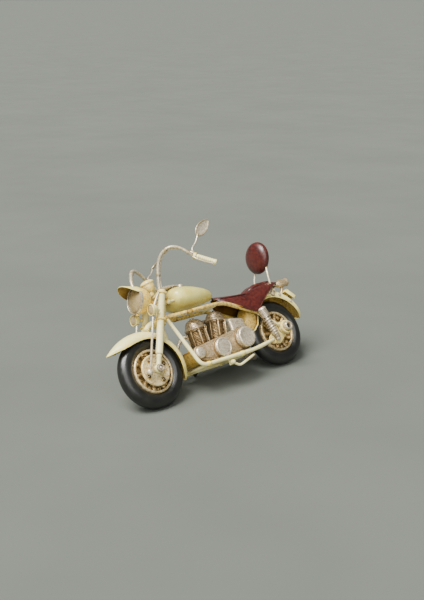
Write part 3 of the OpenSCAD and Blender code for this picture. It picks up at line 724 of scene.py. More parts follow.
stand = Shape().turn([(0.66, 11.2), (1.3, 11.2), (1.5, 11.4), (1.5, 12.6), (1.3, 12.8), (0.66, 12.8)],
                     sideways(*STAND_PIN), n=24, closed=True)
stand.bar([(51.2, 12, -11.3), (47.6, 12, -13.8), (45, 12, -13.5), (33.4, 12, -10.4)],
          [(0, 0.75), (0.9, 0.8), (1, 0.7)], cut=2.4, n=14)
piece("stand_wire", stand, CREAM, "stand", ["side_stand"])

# ---------------------------------------------------------------- engine
FIN_GAP = 4.2
case = Shape().block((37, -7.4, -4.8), (66, 7.4, 4.4), 0.9)
for x, z, r in ((62, 0.6, 5.75), (46, 1.2, 6.3)):
    case.turn([(0, -7.5), (r - 0.7, -7.5), (r, -6.9), (r, 6.9), (r - 0.7, 7.5), (0, 7.5)], sideways(x, z), n=48)
for k in range(5):
    case.block((43 + k * FIN_GAP, -7.9, -5.0), (44.6 + k * FIN_GAP, -7.2, 5.6), 0.25)
piece("engine_case", case, CHAMPAGNE, "frame", ["crankcase"], sharp=40)

# Foot and backward tilt of each cylinder
JUGS = (((61.5, 0, 5.4), 2.5), ((47, 0, 7), 17))
WEAVE_ROW = 0.95
WEAVE_LOW, WEAVE_HIGH = -0.2, 11.2


def jug_axes(foot, tilt):
    return Matrix.Translation(foot) @ Matrix.Rotation(-math.radians(tilt), 4, "Y")


def weave(a, r, z):
    """Radius of a cylinder's barrel, with its rows of woven relief."""
    if not WEAVE_LOW <= z <= WEAVE_HIGH or r < 5:
        return r
    row = (z - WEAVE_LOW) / WEAVE_ROW
    across = math.cos(22 * a + (math.pi if math.floor(row) % 2 else 0))
    down = math.cos(2 * math.pi * (row - 0.5))
    return r + 0.42 * max(down, 0) * (0.88 + 0.12 * across) + 0.12 * down


barrels, domes, tubes = Shape(), Shape(), Shape()
for foot, tilt in JUGS:
    at = jug_axes(foot, tilt)
    rows = [(0, -1.5), (5.2, -1.5), (5.9, -0.4)] + [(5.4, WEAVE_LOW + k * 0.158) for k in range(73)]
    barrels.turn(rows + [(5.4, 11.4), (0, 11.4)], at, n=156, wave=weave)
    for k in range(8):
        a = math.radians(45 * k + 22)
        c, s = math.cos(a), math.sin(a)
        barrels.bar([at @ Vector((6.05 * c, 6.05 * s, -0.6)), at @ Vector((6.15 * c, 6.15 * s, 11.5))], 0.42, n=8)
    barrels.turn([(5.6, 10.4), (6.4, 10.5), (6.45, 11.3), (5.6, 11.4)], at, n=40, closed=True)
    domes.turn([(0, 11.2), (6.5, 11.2), (6.85, 11.4), (6.95, 11.9), (6.85, 12.6), (6.3, 12.8), (6.1, 13.1),
                (6.05, 14.0), (5.75, 15.2), (5.1, 16.4), (4.2, 17.3), (3.0, 18.0), (1.6, 18.4), (1.5, 18.8),
                (1.1, 19.1), (0, 19.15)], at, n=48)
    for dx in (-2.6, 2.6):
        tubes.bar([at @ Vector((dx, 6.75, 0.4)), at @ Vector((dx, 6.8, 11.6))], 0.5, n=12)
        for z in (1.2, 10.4):
            tubes.turn([(0.4, z), (0.8, z), (0.8, z + 0.7), (0.4, z + 0.7)],
                       at @ Matrix.Translation((dx, 6.78, 0)), n=14, closed=True)
piece("barrels", barrels, BRASS, "frame", ["cylinders"], sharp=60)
piece("head_domes", domes, BRONZE, "frame", ["cylinder_heads"], sharp=50)
piece("pushrods", tubes, CHAMPAGNE, "frame", ["pushrod_tubes"])

manifold = Shape().bar([(60, -2.6, 17.4), (53, -4.6, 20.6), (43, -3, 20.4)], 1.25, smooth=True, n=16)
manifold.turn([(0, -1.6), (2.3, -1.6), (2.5, -1.2), (2.5, 0.6), (2.2, 1), (0, 1)],
              along((53, -4.6, 20.4), (0.2, -0.3, 1)), n=28)
piece("manifold", manifold, BRONZE, "frame", ["intake_pipe"])

cover = Shape()
for y0, y1, shrink in ((7.2, 9.0, 0), (8.8, 9.7, 1.3)):
    outline = outline_of([(71.3, 1.1, 4.5 - shrink), (54, 0.3, 6.9 - shrink), (34.4, 1.9, 7.5 - shrink)], 60)
    cover.plate(outline, y0, y1, 1, 0.35)
for x, z, r in ((71.6, 1.4, 4.4), (53.6, 0.3, 7.0), (34.4, 1.9, 7.2)):
    cover.turn([(r - 1.1, 8.6), (r, 8.6), (r + 0.05, 9.6), (r - 0.3, 10.1), (r - 0.8, 10.1), (r - 1.1, 9.7)],
               sideways(x, z), n=48, closed=True)
piece("side_cover", cover, CHAMPAGNE, "frame", ["primary_cover"], sharp=40)

caps = Shape()
caps.turn([(0, 9.2), (3.5, 9.2), (3.65, 10.6), (3.4, 11.3), (2.6, 11.75), (1.2, 12.0), (0, 12.05)],
          sideways(71.6, 1.4), n=40)
caps.turn([(0, 9.2), (6.0, 9.2), (6.1, 11.6), (5.9, 12.2), (5.4, 12.45), (4.9, 12.4), (4.7, 12.2), (2.4, 12.45),
           (0, 12.5)], sideways(53.6, 0.3), n=48)
caps.turn([(0, 9.2), (6.55, 9.2), (6.6, 10.4), (6.2, 10.6), (6.2, 11.2), (6.6, 11.4), (6.5, 13.4), (6.2, 14.0),
           (5.6, 14.2), (5.2, 14.1), (4.9, 13.95), (0, 14.15)], sideways(34.4, 1.9), n=56)
piece("cover_caps", caps, SILVER, "frame", ["primary_caps"], sharp=50)

# Outline of the ribbed tank: x along the bike, y across it
TANK_FOOT = ((38.8, 5.6), (38.7, 6.9), (37.9, 7.7), (36.6, 7.9), (33.6, 8.05), (29.6, 8.0), (27.6, 7.8), (26.6, 7.0),
             (26.2, 5.5), (26.2, 2), (26.2, -4.4), (26.8, -5.8), (28.2, -6), (33.6, -6), (35.2, -5.6), (35.6, -4.4),
             (35.6, 1), (35.8, 3.8), (36.8, 4.8))
foot_line = [(p.x, p.y) for p in soften([(a, b, 0) for a, b in TANK_FOOT + TANK_FOOT[:1]], 0.9, 3)]
tank_rings = []
grooves = [(9.4 + 0.3 * k, 1 - 0.022 * (k % 3 == 1)) for k in range(23)]
for z, grow in [(8.4, 0.93), (8.6, 0.98), (9.0, 1)] + grooves + [(16.5, 0.98), (16.9, 0.92), (17.0, 0.84)]:
    tank_rings.append([(32 + (x - 32) * grow, 1 + (y - 1) * grow, z + (x - 38.8) * 0.2 * (z - 8.4) / 8.6)
                       for x, y in foot_line])
oil = Shape().skin(tank_rings)
piece("ribbed_tank", oil, SILVER, "frame", ["oil_tank"], sharp=50)

pipes = Shape()
pipes.bar([(62.5, -5, 14.4), (66.6, -9, 16), (73.2, -10.4, 8.6), (73.4, -14.4, -1.8), (66, -EXHAUST_Y, -4.4),
           (46.5, -EXHAUST_Y, -4)], 1.3, cut=4, n=18)
pipes.bar([(47, -6, 12.4), (48.6, -10.6, 10.6), (44, -EXHAUST_Y, 3), (40, -EXHAUST_Y, -3)], 1.3, cut=3, n=18)
for p, d in (((63.2, -5.9, 14.7), (1, -0.95, 0.4)), ((47.2, -6.7, 12.2), (0.35, -0.9, -0.3))):
    pipes.turn([(0, -0.5), (2.1, -0.5), (2.2, 0), (2.1, 0.6), (0, 0.6)], along(p, d), n=24)
piece("exhaust_bends", pipes, WIRE, "frame", ["exhaust_pipe"])

muffler_at = along((47, -EXHAUST_Y, -4), (-27, 0, -3.4))
muffler = Shape().turn([(0, -0.4), (1.5, -0.4), (1.8, 0.4), (2.5, 2), (2.7, 3), (2.7, 9), (2.9, 9.2), (2.9, 10),
                        (2.7, 10.2), (2.7, 24), (2.4, 25.6), (1.6, 27.4), (1.5, 28.6), (0, 28.6)], muffler_at, n=36)
fish = [[(19 - 10 * t, -EXHAUST_Y + (1.5 + 0.2 * t) * math.cos(a) * (1 - 0.45 * t),
          -7.6 - 1.1 * t + (1.5 + 2.6 * t * t) * math.sin(a)) for a in around(20)]
        for t in (0, 0.2, 0.45, 0.7, 0.9, 1.0)]
muffler.skin(fish)
piece("muffler", muffler, SILVER, "frame", ["silencer"], sharp=50)

# ---------------------------------------------------------------- tank
# Fuel tank, from the rear forwards: x, half width, top, bottom
TANK_ROWS = ((39.4, 0.3, 36.2, 35.0), (40.0, 2.4, 37.4, 33.7), (41.2, 4.3, 38.7, 32.7), (43.4, 6.0, 40.1, 32.0),
             (46.6, 7.6, 41.4, 31.5), (50.6, 9.1, 42.8, 31.1), (56, 10.5, 44.5, 30.7), (62, 11.4, 45.8, 30.5),
             (67, 11.7, 46.4, 30.9), (70.6, 10.8, 46.0, 32.2), (72.8, 8.9, 44.6, 33.8), (74.2, 5.8, 42.4, 36.0),
             (74.8, 1.6, 40, 38.4))


def tank_ring(x):
    w, top, low = lerp_table(TANK_ROWS, x)
    mid = low + (top - low) * 0.46
    ring = []
    for a in around(32):
        c, s = math.cos(a), math.sin(a)
        power = 0.86 if s > 0 else 0.8
        height = (top - mid) if s > 0 else (mid - low)
        ring.append((x, w * math.copysign(abs(c) ** power, c),
                     mid + height * math.copysign(abs(s) ** 0.92, s) - 0.5 * math.exp(-(c / 0.13) ** 2) * (s > 0)
                     * min(w / 8, 1)))
    return ring


stations = [39.4, 39.6, 40.0, 40.6, 41.4, 42.6, 44.2, 46.4, 49, 52, 55, 58, 61, 64, 67, 69.2, 71.0, 72.5, 73.7, 74.5,
            74.8]
shell = Shape().skin([tank_ring(x) for x in stations])
piece("tank_shell", shell, TANK, "frame", ["fuel_tank"], subdivide=2)

# Crest of the tank console, from the front backwards: x, half width, z
CREST = ((78.2, 0.5, 47.6), (77.4, 1.7, 48.6), (75.6, 2.5, 48.7), (73.6, 3.1, 48.7), (71.4, 3.4, 48.6), (69, 3.5, 48.7),
         (66, 3.2, 48.4), (62.5, 2.6, 47.8), (59.5, 1.9, 46.9), (57, 1.2, 45.8), (55.8, 0.5, 45.0))
ridge = []
for x, w, z in CREST:
    ridge.append([(x + 0.5 * math.sin(3 * a), w * math.cos(a) * (1 + 0.06 * math.sin(2.3 * x)),
                   z - 1.4 + 1.4 * math.sin(a) + 0.16 * math.sin(5 * a + x))
                  for a in around(24)])
console = Shape().skin(ridge)
console.bar([(68.4 + 1.1 * math.cos(a), 4.9 + 0.2 * math.sin(a), 45.8 + 1.1 * math.sin(a))
             for a in [math.pi * k / 8 for k in range(17)]], 0.32, n=8)
piece("console", console, SILVER, "frame", ["tank_console"], sharp=60)

fillers = Shape()
for side in (1, -1):
    at = along((63.6, 4.9 * side, 44.6), (0, 0.32 * side, 1), (1, 0, 0))
    fillers.turn([(0, -0.4), (2.2, -0.4), (2.3, 0.4), (2.0, 0.9), (1.7, 1.1), (1.6, 1.9), (1.3, 2.2), (0.5, 2.3),
                  (0.4, 1.8), (0, 1.8)], at, n=28)
piece("fillers", fillers, SILVER, "frame", ["filler_cap"], sharp=50)

knobs = Shape()
for side in (1, -1):
    knobs.ball((78, 7 * side, 37.6), 1.4, 20)
    knobs.bar([(77.6, 7 * side, 37.6), (72.4, 7 * side, 37.6)], 0.65, n=12)
piece("knobs", knobs, CREAM, "frame", ["tank_knobs"], sharp=60)

# ---------------------------------------------------------------- seat
# Seat skin, from the rear forwards: x, half width on top, top, lower edge, half width at the lower edge
SEAT_ROWS = ((-14.4, 4.6, 31.6, 31.0, 4.8), (-13.4, 6.0, 32.6, 30.8, 6.4), (-8.5, 7.6, 33.2, 30.0, 8.4),
             (-3, 8.2, 33.0, 27.2, 9.2), (3, 8.4, 32.4, 23.8, 9.9), (8.4, 8.6, 31.8, 20.4, 10.6),
             (13, 8.8, 31.0, 17.2, 11.1), (16.8, 8.9, 30.6, 15.3, 11.3), (20, 8.8, 30.4, 17.0, 11.1),
             (24.5, 8.2, 30.8, 19.6, 10.5), (30, 6.8, 31.6, 23.2, 9.2), (35, 4.6, 32.6, 26.8, 7.0),
             (38, 2.6, 33.4, 30.0, 4.2), (39.4, 1.2, 33.6, 32.2, 1.8))


def saddle_ring(x):
    w, top, low, low_w = lerp_table(SEAT_ROWS, x)
    right = [(low_w, low), (low_w * 0.985 + w * 0.015, low + (top - low) * 0.3),
             (w + (low_w - w) * 0.4, low + (top - low) * 0.62), (w + 0.1, top - 1.9), (w - 0.5, top - 0.8),
             (w - 1.6, top - 0.25), (w * 0.55, top + 0.1), (w * 0.25, top)]
    return ([(x, y, z) for y, z in right] + [(x, 0, top - 0.05)] + [(x, -y, z) for y, z in reversed(right)])


saddle_x = [-14.4, -13.4, -11, -8.5, -5.5, -3, 0, 3, 6, 8.4, 11, 13, 15, 16.8, 18.4, 20, 22, 24.5, 27, 30, 32.5, 35,
            37, 38.4, 39.4]
saddle = piece("saddle", Shape().skin([saddle_ring(x) for x in saddle_x], ring_closed=False, caps=False), SKIN,
               "frame", ["seat", "seat_pan"], subdivide=2, thick=0.9, inner=SHADE)


def cushion_ring(t, x0, x1, w, z0, top):
    """One cross-section of a crowned pad at share t of its length."""
    end = 1 - abs(2 * t - 1) ** 5
    end = max(end, 0.0) ** 0.5
    x = x0 + (x1 - x0) * t
    ring = []
    for a in around(28):
        c, s = math.cos(a), math.sin(a)
        y = (w(t) * (0.35 + 0.65 * end)) * math.copysign(abs(c) ** 0.6, c)
        lift = top(t) if s > 0 else 1.2
        z = z0(t) + lift * (0.25 + 0.75 * end) * math.copysign(abs(s) ** 0.7, s)
        ring.append((x, y, z - (0.35 * math.exp(-(c / 0.1) ** 2) if s > 0 else 0) * end))
    return ring


pillion = Shape().skin([
    cushion_ring(t, 12.4, -12.2, lambda t: 6.6 + 0.5 * math.sin(math.pi * t) - 1.2 * t,
                 lambda t: 30.6 + 2.0 * min(t * 3, 1), lambda t: 1.5 + 0.7 * min(t * 3.4, 1))
    for t in [0, 0.02, 0.06, 0.12, 0.2, 0.3, 0.4, 0.5, 0.6, 0.7, 0.8, 0.88, 0.94, 0.98, 1]])
pillion = piece("pillion_pad", pillion, SKIN, "frame", (), subdivide=2)

seams = Shape()
seat_rows = [(x, *lerp_table(SEAT_ROWS, x)) for x in saddle_x]
for side in (1, -1):
    seams.bar([(x, side * (low_w + 0.1), low + 0.2) for x, w, top, low, low_w in seat_rows[1:-1]], 0.42, n=8)
    seams.bar([(x, side * (w + 0.05), top - 1.35) for x, w, top, low, low_w in seat_rows[14:-2]], 0.3, n=8)
piece("seat_piping", seams, SKIN, "frame", (), sharp=60)

under = Shape().skin([[(x, (k / 4 - 1) * (w - 0.9), top - 3.4) for k in range(9)]
                      for x, w, top, low, low_w in seat_rows[1:-2]], ring_closed=False, caps=False)
piece("seat_base", under, SHADE, "frame", (), thick=0.6)

pad_axes = Matrix.Translation((-11.8, 0, 52)) @ Matrix.Rotation(-math.radians(10), 4, "Y")
pad = Shape()
rings = []
for k in range(33):
    t = k / 32
    a = math.pi * t
    x = -4.7 * math.cos(a)
    r = 10.9 * math.sin(a) ** 0.78
    rings.append([pad_axes @ Vector((x, r * math.cos(b), r * math.sin(b) * (1.02 - 0.03 * math.sin(b)) + 0.2))
                  for b in around(40)])
pad.skin(rings)
rest = piece("back_pad", pad, SKIN, "frame", ["backrest"], subdivide=1)

# ---------------------------------------------------------------- rear mudguard and tail
# angle from the front, radius of the crest, radius of the edges, half width at the edges
REAR_GUARD = ((10, 24.6, 21.5, 3.4), (16, 26.4, 19.2, 5.6), (26, 27.6, 17.8, 6.7), (38, 28.0, 18.4, 7.0),
              (52, 28.2, 20.4, 7.0), (70, 28.3, 22.2, 6.9), (95, 28.4, 23.0, 6.9), (120, 28.4, 23.4, 6.9),
              (145, 28.5, 24.0, 6.6), (158, 28.6, 24.7, 5.8), (166, 28.7, 25.8, 4.0), (171, 28.6, 27.2, 1.2))
GUARD_STEPS = 17


def guard_row(centre, angle, crest, low, half_w, square):
    """Cross-section of a mudguard, from its left edge over the top to its right edge."""
    a = math.radians(angle)
    out = Vector((math.cos(a), 0, math.sin(a)))
    row = []
    for k in range(GUARD_STEPS):
        t = math.pi * k / (GUARD_STEPS - 1)
        c, s = math.cos(t), math.sin(t)
        r = low + (crest - low) * abs(s) ** square
        row.append(Vector((centre[0], 0, centre[1])) + out * r
                   + Vector((0, half_w * math.copysign(abs(c) ** square, c), 0)))
    return row


def guard_rows(table, centre, square, step=3.0):
    rows = []
    angle, last = table[0][0], table[-1][0]
    while angle < last:
        rows.append(guard_row(centre, angle, *lerp_table(table, angle), square))
        angle += step
    rows.append(guard_row(centre, last, *table[-1][1:], square))
    return rows


rear_rows = guard_rows(REAR_GUARD, (0, 0), 0.55)
# The front, lower rows under the seat take the ochre: partly patina, partly painted shade under the seat and engine.
guard = Shape().skin(rear_rows[:24], ring_closed=False, caps=False, slot=1)
guard.skin(rear_rows[23:], ring_closed=False, caps=False)
piece("guard_rear", guard, CREAM, "frame", ["rear_mudguard"], subdivide=1, thick=0.6, inner=SHADE,
      extra=(OCHRE,))
lips = Shape()
lips.bar([r[0] for r in rear_rows] + [r[GUARD_STEPS // 2] for r in rear_rows[-1:]] + [r[-1] for r in rear_rows[::-1]],
         0.42, n=8)
piece("guard_rear_lip", lips, CREAM, "frame", (), sharp=60)

bolts = Shape()
for side in (1, -1):
    for angle in (118, 104, 140):
        a = math.radians(angle)
        at = sideways(25.4 * math.cos(a), 25.4 * math.sin(a), 6.6, side)
        bolts.turn([(0, 0), (0.9, 0), (1.0, 0.3), (0.8, 0.75), (0.4, 0.95), (0, 1.0)], at, n=18)
piece("guard_rivets", bolts, SILVER, "frame", ["guard_bolts"])

plate_at = Matrix.Rotation(-math.radians(138), 4, "Y")
plate = Shape()
plate.block((32.6, -4.7, -3.9), (33.2, 4.7, 3.9), 0.25, plate_at)
plate.bar([plate_at @ Vector((27.2, 0, 0)), plate_at @ Vector((32.8, 0, 0))], 1.4, n=14)
piece("plate_holder", plate, OCHRE, "frame", ["plate_bracket"], sharp=40)
edging = Shape()
for low, high in (((30.6, -5, -4.1), (33.4, -4.4, 4.1)), ((30.6, 4.4, -4.1), (33.4, 5, 4.1)),
                  ((31.4, -5, -4.1), (33.4, 5, -3.5)), ((31.4, -5, 3.5), (33.4, 5, 4.1))):
    edging.block(low, high, 0.25, plate_at)
piece("plate_frame", edging, CREAM, "frame", (), sharp=40)

lamp_axes = along((-29, 0, 30.7), (1, 0, 0), (0, 0, 1))
lamp = Shape().turn([(2.3, 0.4), (2.75, 0.4), (2.95, 0.9), (2.75, 1.5), (2.6, 2.0), (2.85, 4.6), (2.95, 6.2),
                     (2.7, 8.0), (2.0, 9.6), (1.2, 10.8), (0.9, 11.8), (0, 12.0)], lamp_axes, n=32,
                    wave=lambda a, r, z: r * (1 + (0.07 * math.cos(6 * a) + 0.04 * math.cos(9 * z)) * (2 < z < 10)))
lamp.bar([(-22.6, 0, 29.2), (-22.6, 0, 26.6), (-19.6, 0, 22.8)], [(0, 0.9), (1, 1.1)], cut=1.5)
piece("tail_bullet", lamp, CHAMPAGNE, "frame", ["tail_lamp"], sharp=50)
piece("tail_glass", Shape().turn([(0, -0.2), (0.8, -0.15), (1.7, 0.15), (2.25, 0.6), (2.3, 1.2), (0, 1.2)], lamp_axes,
                                 n=28), RED, "frame", ["tail_lens"])


def sissy(shape, side):
    shape.bar([(-6, 7.5 * side, 23), (-7.4, 7.7 * side, 35.4), (-10.2, 6.4 * side, 42.5), (-12.4, 4.6 * side, 47)],
              [(0, 0.85), (0.15, 0.7), (1, 0.7)], smooth=True, n=12)
    for k, (x, z, r) in enumerate(((-6.1, 24.6, 1.5), (-3.6, 26.2, 1.0), (-8.2, 26.6, 1.0))):
        shape.turn([(0, 0), (r, 0), (r + 0.1, 0.4), (r * 0.7, 0.95), (r * 0.35, 1.0), (0, 0.7)],
                   sideways(x, z, 7.1, side), n=18)
    curl = [(-5 + (2.2 - 0.13 * k) * math.cos(0.55 * k), 7.7 * side, 27.4 + (2.2 - 0.13 * k) * math.sin(0.55 * k))
            for k in range(14)]
    shape.bar(curl, 0.4, smooth=True, n=8)


piece("sissy_wires", mirrored(sissy), WIRE, "frame", ["sissy_bar"], sharp=60)

# ---------------------------------------------------------------- fork and front mudguard
def leg_axes(side):
    """Axes of one fork leg, Z up."""
    return IN_STEER @ Matrix.Translation((FORK_OFFSET, FORK_W * side, 0))


def front_eye(side):
    """Axes at the front axle, Z out to one side."""
    return sideways(WHEELBASE, 0, 0, side)


fork = Shape()
for side in (1, -1):
    at = leg_axes(side)
    fork.turn([(0, -26.6), (1.6, -26.6), (2.15, -26.2), (2.25, -25.6), (2.2, -24.8), (2.2, 13.6), (2.35, 13.9),
               (2.35, 14.7), (2.1, 15.2), (1.2, 15.5), (0, 15.5)], at, n=32)
piece("fork_legs", fork, CREAM, "steering", ["fork_tubes"], sharp=50)

ends = Shape()
for side in (1, -1):
    at = leg_axes(side)
    ends.turn([(0, -33.9), (1.45, -33.9), (1.5, -28.4), (1.75, -28), (1.75, -27.2), (1.5, -26.8), (1.5, -26),
               (0, -26)], at, n=28)
    ends.turn([(1.22, 7.6), (2.3, 7.6), (2.6, 7.9), (2.6, 10.9), (2.3, 11.2), (1.22, 11.2)], front_eye(side), n=32,
              closed=True)
piece("fork_feet", ends, CREAM, "steering", ["fork_ends"], sharp=50)

nuts, ring_floor = Shape(), Shape()
for side in (1, -1):
    eye = front_eye(side)
    nuts.turn([(0, 9), (1.18, 9), (1.18, 11.2), (2.1, 11.2), (2.2, 12.4), (2.0, 12.75), (1.5, 12.8), (1.3, 12.4),
               (1.25, 11.9), (0.95, 11.9), (0.9, 12.4), (0.6, 12.7), (0, 12.8)], eye, n=28)
    ring_floor.turn([(0.92, 11.95), (1.28, 11.95)], eye, n=28)
    ring_floor.turn([(2.2, 11.25), (2.45, 11.25)], eye, n=28)
piece("spindle_shadows", ring_floor, HOLE_SHADE, "steering")
nuts.turn([(0, -9.2), (1.18, -9.2), (1.18, 9.2), (0, 9.2)], sideways(WHEELBASE, 0), n=20)
piece("front_spindle", nuts, SILVER, "steering", ["front_axle"], sharp=50)

yokes = Shape()
for z in (-4.75, 12.65):
    pts = [(-2.6, 0), (-1.5, 2.2), (1.0, 4.8), (2.6, 8.6), (3.0, 11.6), (4.2, 12.2), (6.6, 12.2), (8.0, 11.2),
           (8.2, 8.6), (7.0, 5.0), (6.4, 2.4), (6.3, 0)]
    outline = pts + [(x, -y) for x, y in pts[-2:0:-1]]
    rows = []
    for dz, grow in ((0, -0.35), (0.15, -0.1), (0.4, 0), (1.2, 0), (1.45, -0.1), (1.6, -0.35)):
        rows.append([IN_STEER @ Vector((x + grow * (1 if x > 2.8 else -1), y + grow * (1 if y > 0 else -1 if y < 0
                                        else 0), z + dz)) for x, y in outline])
    yokes.skin(rows)
yokes.turn([(0, 14.2), (2.2, 14.2), (2.3, 15.2), (1.9, 15.8), (0.9, 16.1), (0, 16.1)], IN_STEER, n=24)
piece("yokes", yokes, WARM, "steering", ["fork_yokes"], sharp=40)
piece("stem", Shape().turn([(0, -3.1), (1.6, -3.1), (1.6, 12.6), (0, 12.6)], IN_STEER, n=24), SILVER, "steering",
      ["steering_stem"])

# angle, crest, edge, half width about the front axle; the front half has its own centre
GUARD_BACK = ((100, 25.4, 19.6, 6.8), (120, 25.3, 19.6, 6.8), (150, 25.2, 19.6, 6.8), (175, 25.2, 19.8, 6.7),
              (188, 25.2, 20.4, 6.0), (196, 25.3, 21.6, 4.6), (202, 25.4, 23.4, 2.4), (205, 25.5, 25.0, 0.4))
GUARD_FRONT = ((45.5, 33.6, 33.2, 0.3), (49, 33.2, 31.6, 2.2), (54, 32.9, 29.8, 4.2), (61, 32.7, 28.0, 6.0),
               (70, 32.6, 26.9, 6.9), (82, 32.6, 26.6, 6.9), (102, 32.6, 26.8, 6.8))
front_centre = (WHEELBASE + 1.5, -7)
front_rows = guard_rows(GUARD_FRONT, front_centre, 1.0) + guard_rows(GUARD_BACK, (WHEELBASE, 0), 1.0)[1:]
piece("guard_front", Shape().skin(front_rows, ring_closed=False, caps=False), CREAM, "steering", ["front_mudguard"],
      subdivide=1, thick=0.6, inner=OCHRE)
lips = Shape()
lips.bar([r[0] for r in front_rows] + [r[-1] for r in front_rows[::-1]], 0.38, n=8)
piece("guard_front_lip", lips, CREAM, "steering", (), sharp=60)
hanger = Shape().bar([(97, 0, 24.6), (94, 0, 27.2), (89.4, 0, 28.6)], [(0, 2.2), (0.3, 1.6), (1, 1.7)], smooth=True)
piece("guard_hanger", hanger, CREAM, "steering", ["guard_bracket"])

BOLT_ANGLES = (20, 110, 200, 290)
BOLT_CIRCLE_R = 7.0


def bolt_spots(side):
    """Axes of the bolts of one brake plate."""
    return [front_eye(side) @ Matrix.Rotation(math.radians(angle), 4, "Z") @ Matrix.Translation((BOLT_CIRCLE_R, 0, 0))
            for angle in BOLT_ANGLES]


def brake(shape, side):
    shape.turn([(1.22, 5.4), (9.3, 5.4), (9.75, 5.7), (9.7, 6.5), (9.3, 6.85), (8.6, 6.75), (8.0, 6.5), (4.4, 6.7),
                (3.9, 7.1), (2.6, 7.5), (1.22, 7.5)], front_eye(side), n=64, closed=True)
    for spot in bolt_spots(side):
        shape.turn([(1.05, 6.4), (1.6, 6.45), (1.55, 7.0), (1.2, 7.15), (1.05, 6.8)], spot, n=20, closed=True)


# Dark disc inside each bolt ring: painted shade in the recess.
def brake_hole_shade(shape, side):
    for spot in bolt_spots(side):
        shape.turn([(0, 6.2), (1.08, 6.2), (1.08, 6.72), (0, 6.75)], spot, n=16)


def brake_studs(shape, side):
    for spot in bolt_spots(side):
        shape.turn([(0, 6.6), (0.62, 6.6), (0.62, 7.1), (0.4, 7.35), (0, 7.4)], spot, n=16)


piece("brake_covers", mirrored(brake), PLATE, "steering", ["brake_plates"], sharp=50)
piece("brake_hollow_shade", mirrored(brake_hole_shade), HOLE_SHADE, "steering", (), sharp=50)
piece("brake_studs", mirrored(brake_studs), SILVER, "steering", ())


def brake_rod(shape, side):
    at = IN_STEER
    shape.bar([at @ Vector(p) for p in ((6.4, 9.8 * side, 15.6), (8.6, 10 * side, 11.5), (10.2, 9.9 * side, 5.5),
                                        (10.9, 9.7 * side, 0), (10.9, 9.7 * side, -38))], 0.68, cut=4, n=12)
    shape.ball(at @ Vector((10.9, 9.4 * side, -38.6)), 2.0, 20, (1, 0.85, 1))
    shape.bar([at @ Vector((10.9, 6.2 * side, -38.6)), at @ Vector((10.9, 9 * side, -38.6))], 1.0, n=14)


piece("brake_wires", mirrored(brake_rod), WIRE, "steering", ["brake_rods"], sharp=60)

# ---------------------------------------------------------------- lamps and gauge
def facing(place, degrees):
    """Axes with Z forward and tipped up by some degrees, and X up."""
    tilt = math.radians(degrees)
    return along(place, (math.cos(tilt), 0, math.sin(tilt)), (-math.sin(tilt), 0, math.cos(tilt)))


head_at = facing((96.9, 0, 44.8), 14)
bowl = Shape().turn([(8.3, -1.9), (8.3, -2.2), (8.25, -3.2), (8.0, -5.0), (7.2, -7.2), (5.8, -8.9), (3.8, -10.0),
                     (1.8, -10.4), (0, -10.5)], head_at, n=56)
bowl.bar([(90.6, 0, 41.6), (88, 0, 40.6), (84, 0, 39.4)], [(0, 2.6), (0.5, 1.9), (1, 2.2)], smooth=True, n=16)
bowl.ball(head_at @ Vector((-8.9, 0, -0.9)), 1.0, 14)
hoop = Shape().turn([(0, -1.2), (7.7, -1.0), (7.75, -0.1), (8.1, 0.25), (8.5, 0.1), (8.65, -0.5), (8.6, -1.4),
                     (8.3, -1.9)], head_at, n=56)
piece("headlight_hoop", hoop, SILVER, "steering", (), sharp=50)
piece("headlight_bowl", bowl, GOLD, "steering", ["headlight_shell"], sharp=50)

glass = Shape().turn([(0, 1.15), (2.2, 1.05), (4.4, 0.75), (6.2, 0.25), (7.3, -0.3), (7.7, -0.7), (7.6, -1.1),
                      (0, -1.1)], head_at, n=56)
for k in range(7):  # fine ribs across the glass
    y = (k - 3) * 1.9
    reach = math.sqrt(6.6 ** 2 - y ** 2)
    rise = 1.0 * (1 - (y / 7.4) ** 2)
    glass.bar([head_at @ Vector((t * reach, y, -0.15 + rise * (1 - t * t * 0.75))) for t in
               (-1, -0.6, -0.2, 0.2, 0.6, 1)], 0.16, smooth=True, n=6)
piece("headlight_glass", glass, LENS, "steering", ["headlight_lens"], sharp=60)

PEAK_SWEEP = 68
peak = []
for k in range(29):
    phi = math.radians(PEAK_SWEEP * (k / 14 - 1))
    share = max(math.cos(phi * 1.3), 0.0)
    long = 9.6 * share ** 0.7
    row = []
    for j in range(9):
        s = j / 8
        r = 8.75 + 0.35 * s - 0.5 * s * s
        row.append(head_at @ Vector((r * math.cos(phi), r * math.sin(phi), -1.9 + (1.9 + long) * s)))
    peak.append(row)
piece("headlight_peak", Shape().skin(peak, ring_closed=False, caps=False), CREAM, "steering", ["headlight_visor"],
      subdivide=1, thick=0.55, inner=VISOR)


def side_lamp_axes(side):
    return facing((95.4, 10.6 * side, 34.9), 8)


def side_lamp(shape, side):
    shape.turn([(3.0, -0.5), (3.05, 0.1), (3.3, 0.25), (3.55, 0.05), (3.6, -0.5), (3.4, -0.9), (3.3, -1.8), (2.9, -3.0),
                (2.1, -4.1), (1.1, -4.7), (0, -4.8)], side_lamp_axes(side), n=36)
    shape.bar([(92.4, 10.3 * side, 34.3), (90.4, 9.9 * side, 33.6), (88.6, 9.6 * side, 33.2)], 1.0, n=12)


def side_glass(shape, side):
    shape.turn([(0, 0.65), (1.4, 0.5), (2.5, 0.1), (3.0, -0.35), (3.0, -0.6), (0, -0.6)], side_lamp_axes(side), n=32)


piece("side_lamps", mirrored(side_lamp), CREAM, "steering", ["lamp_shells"], sharp=50)
piece("side_glasses", mirrored(side_glass), LENS, "steering", ["lamp_lenses"])

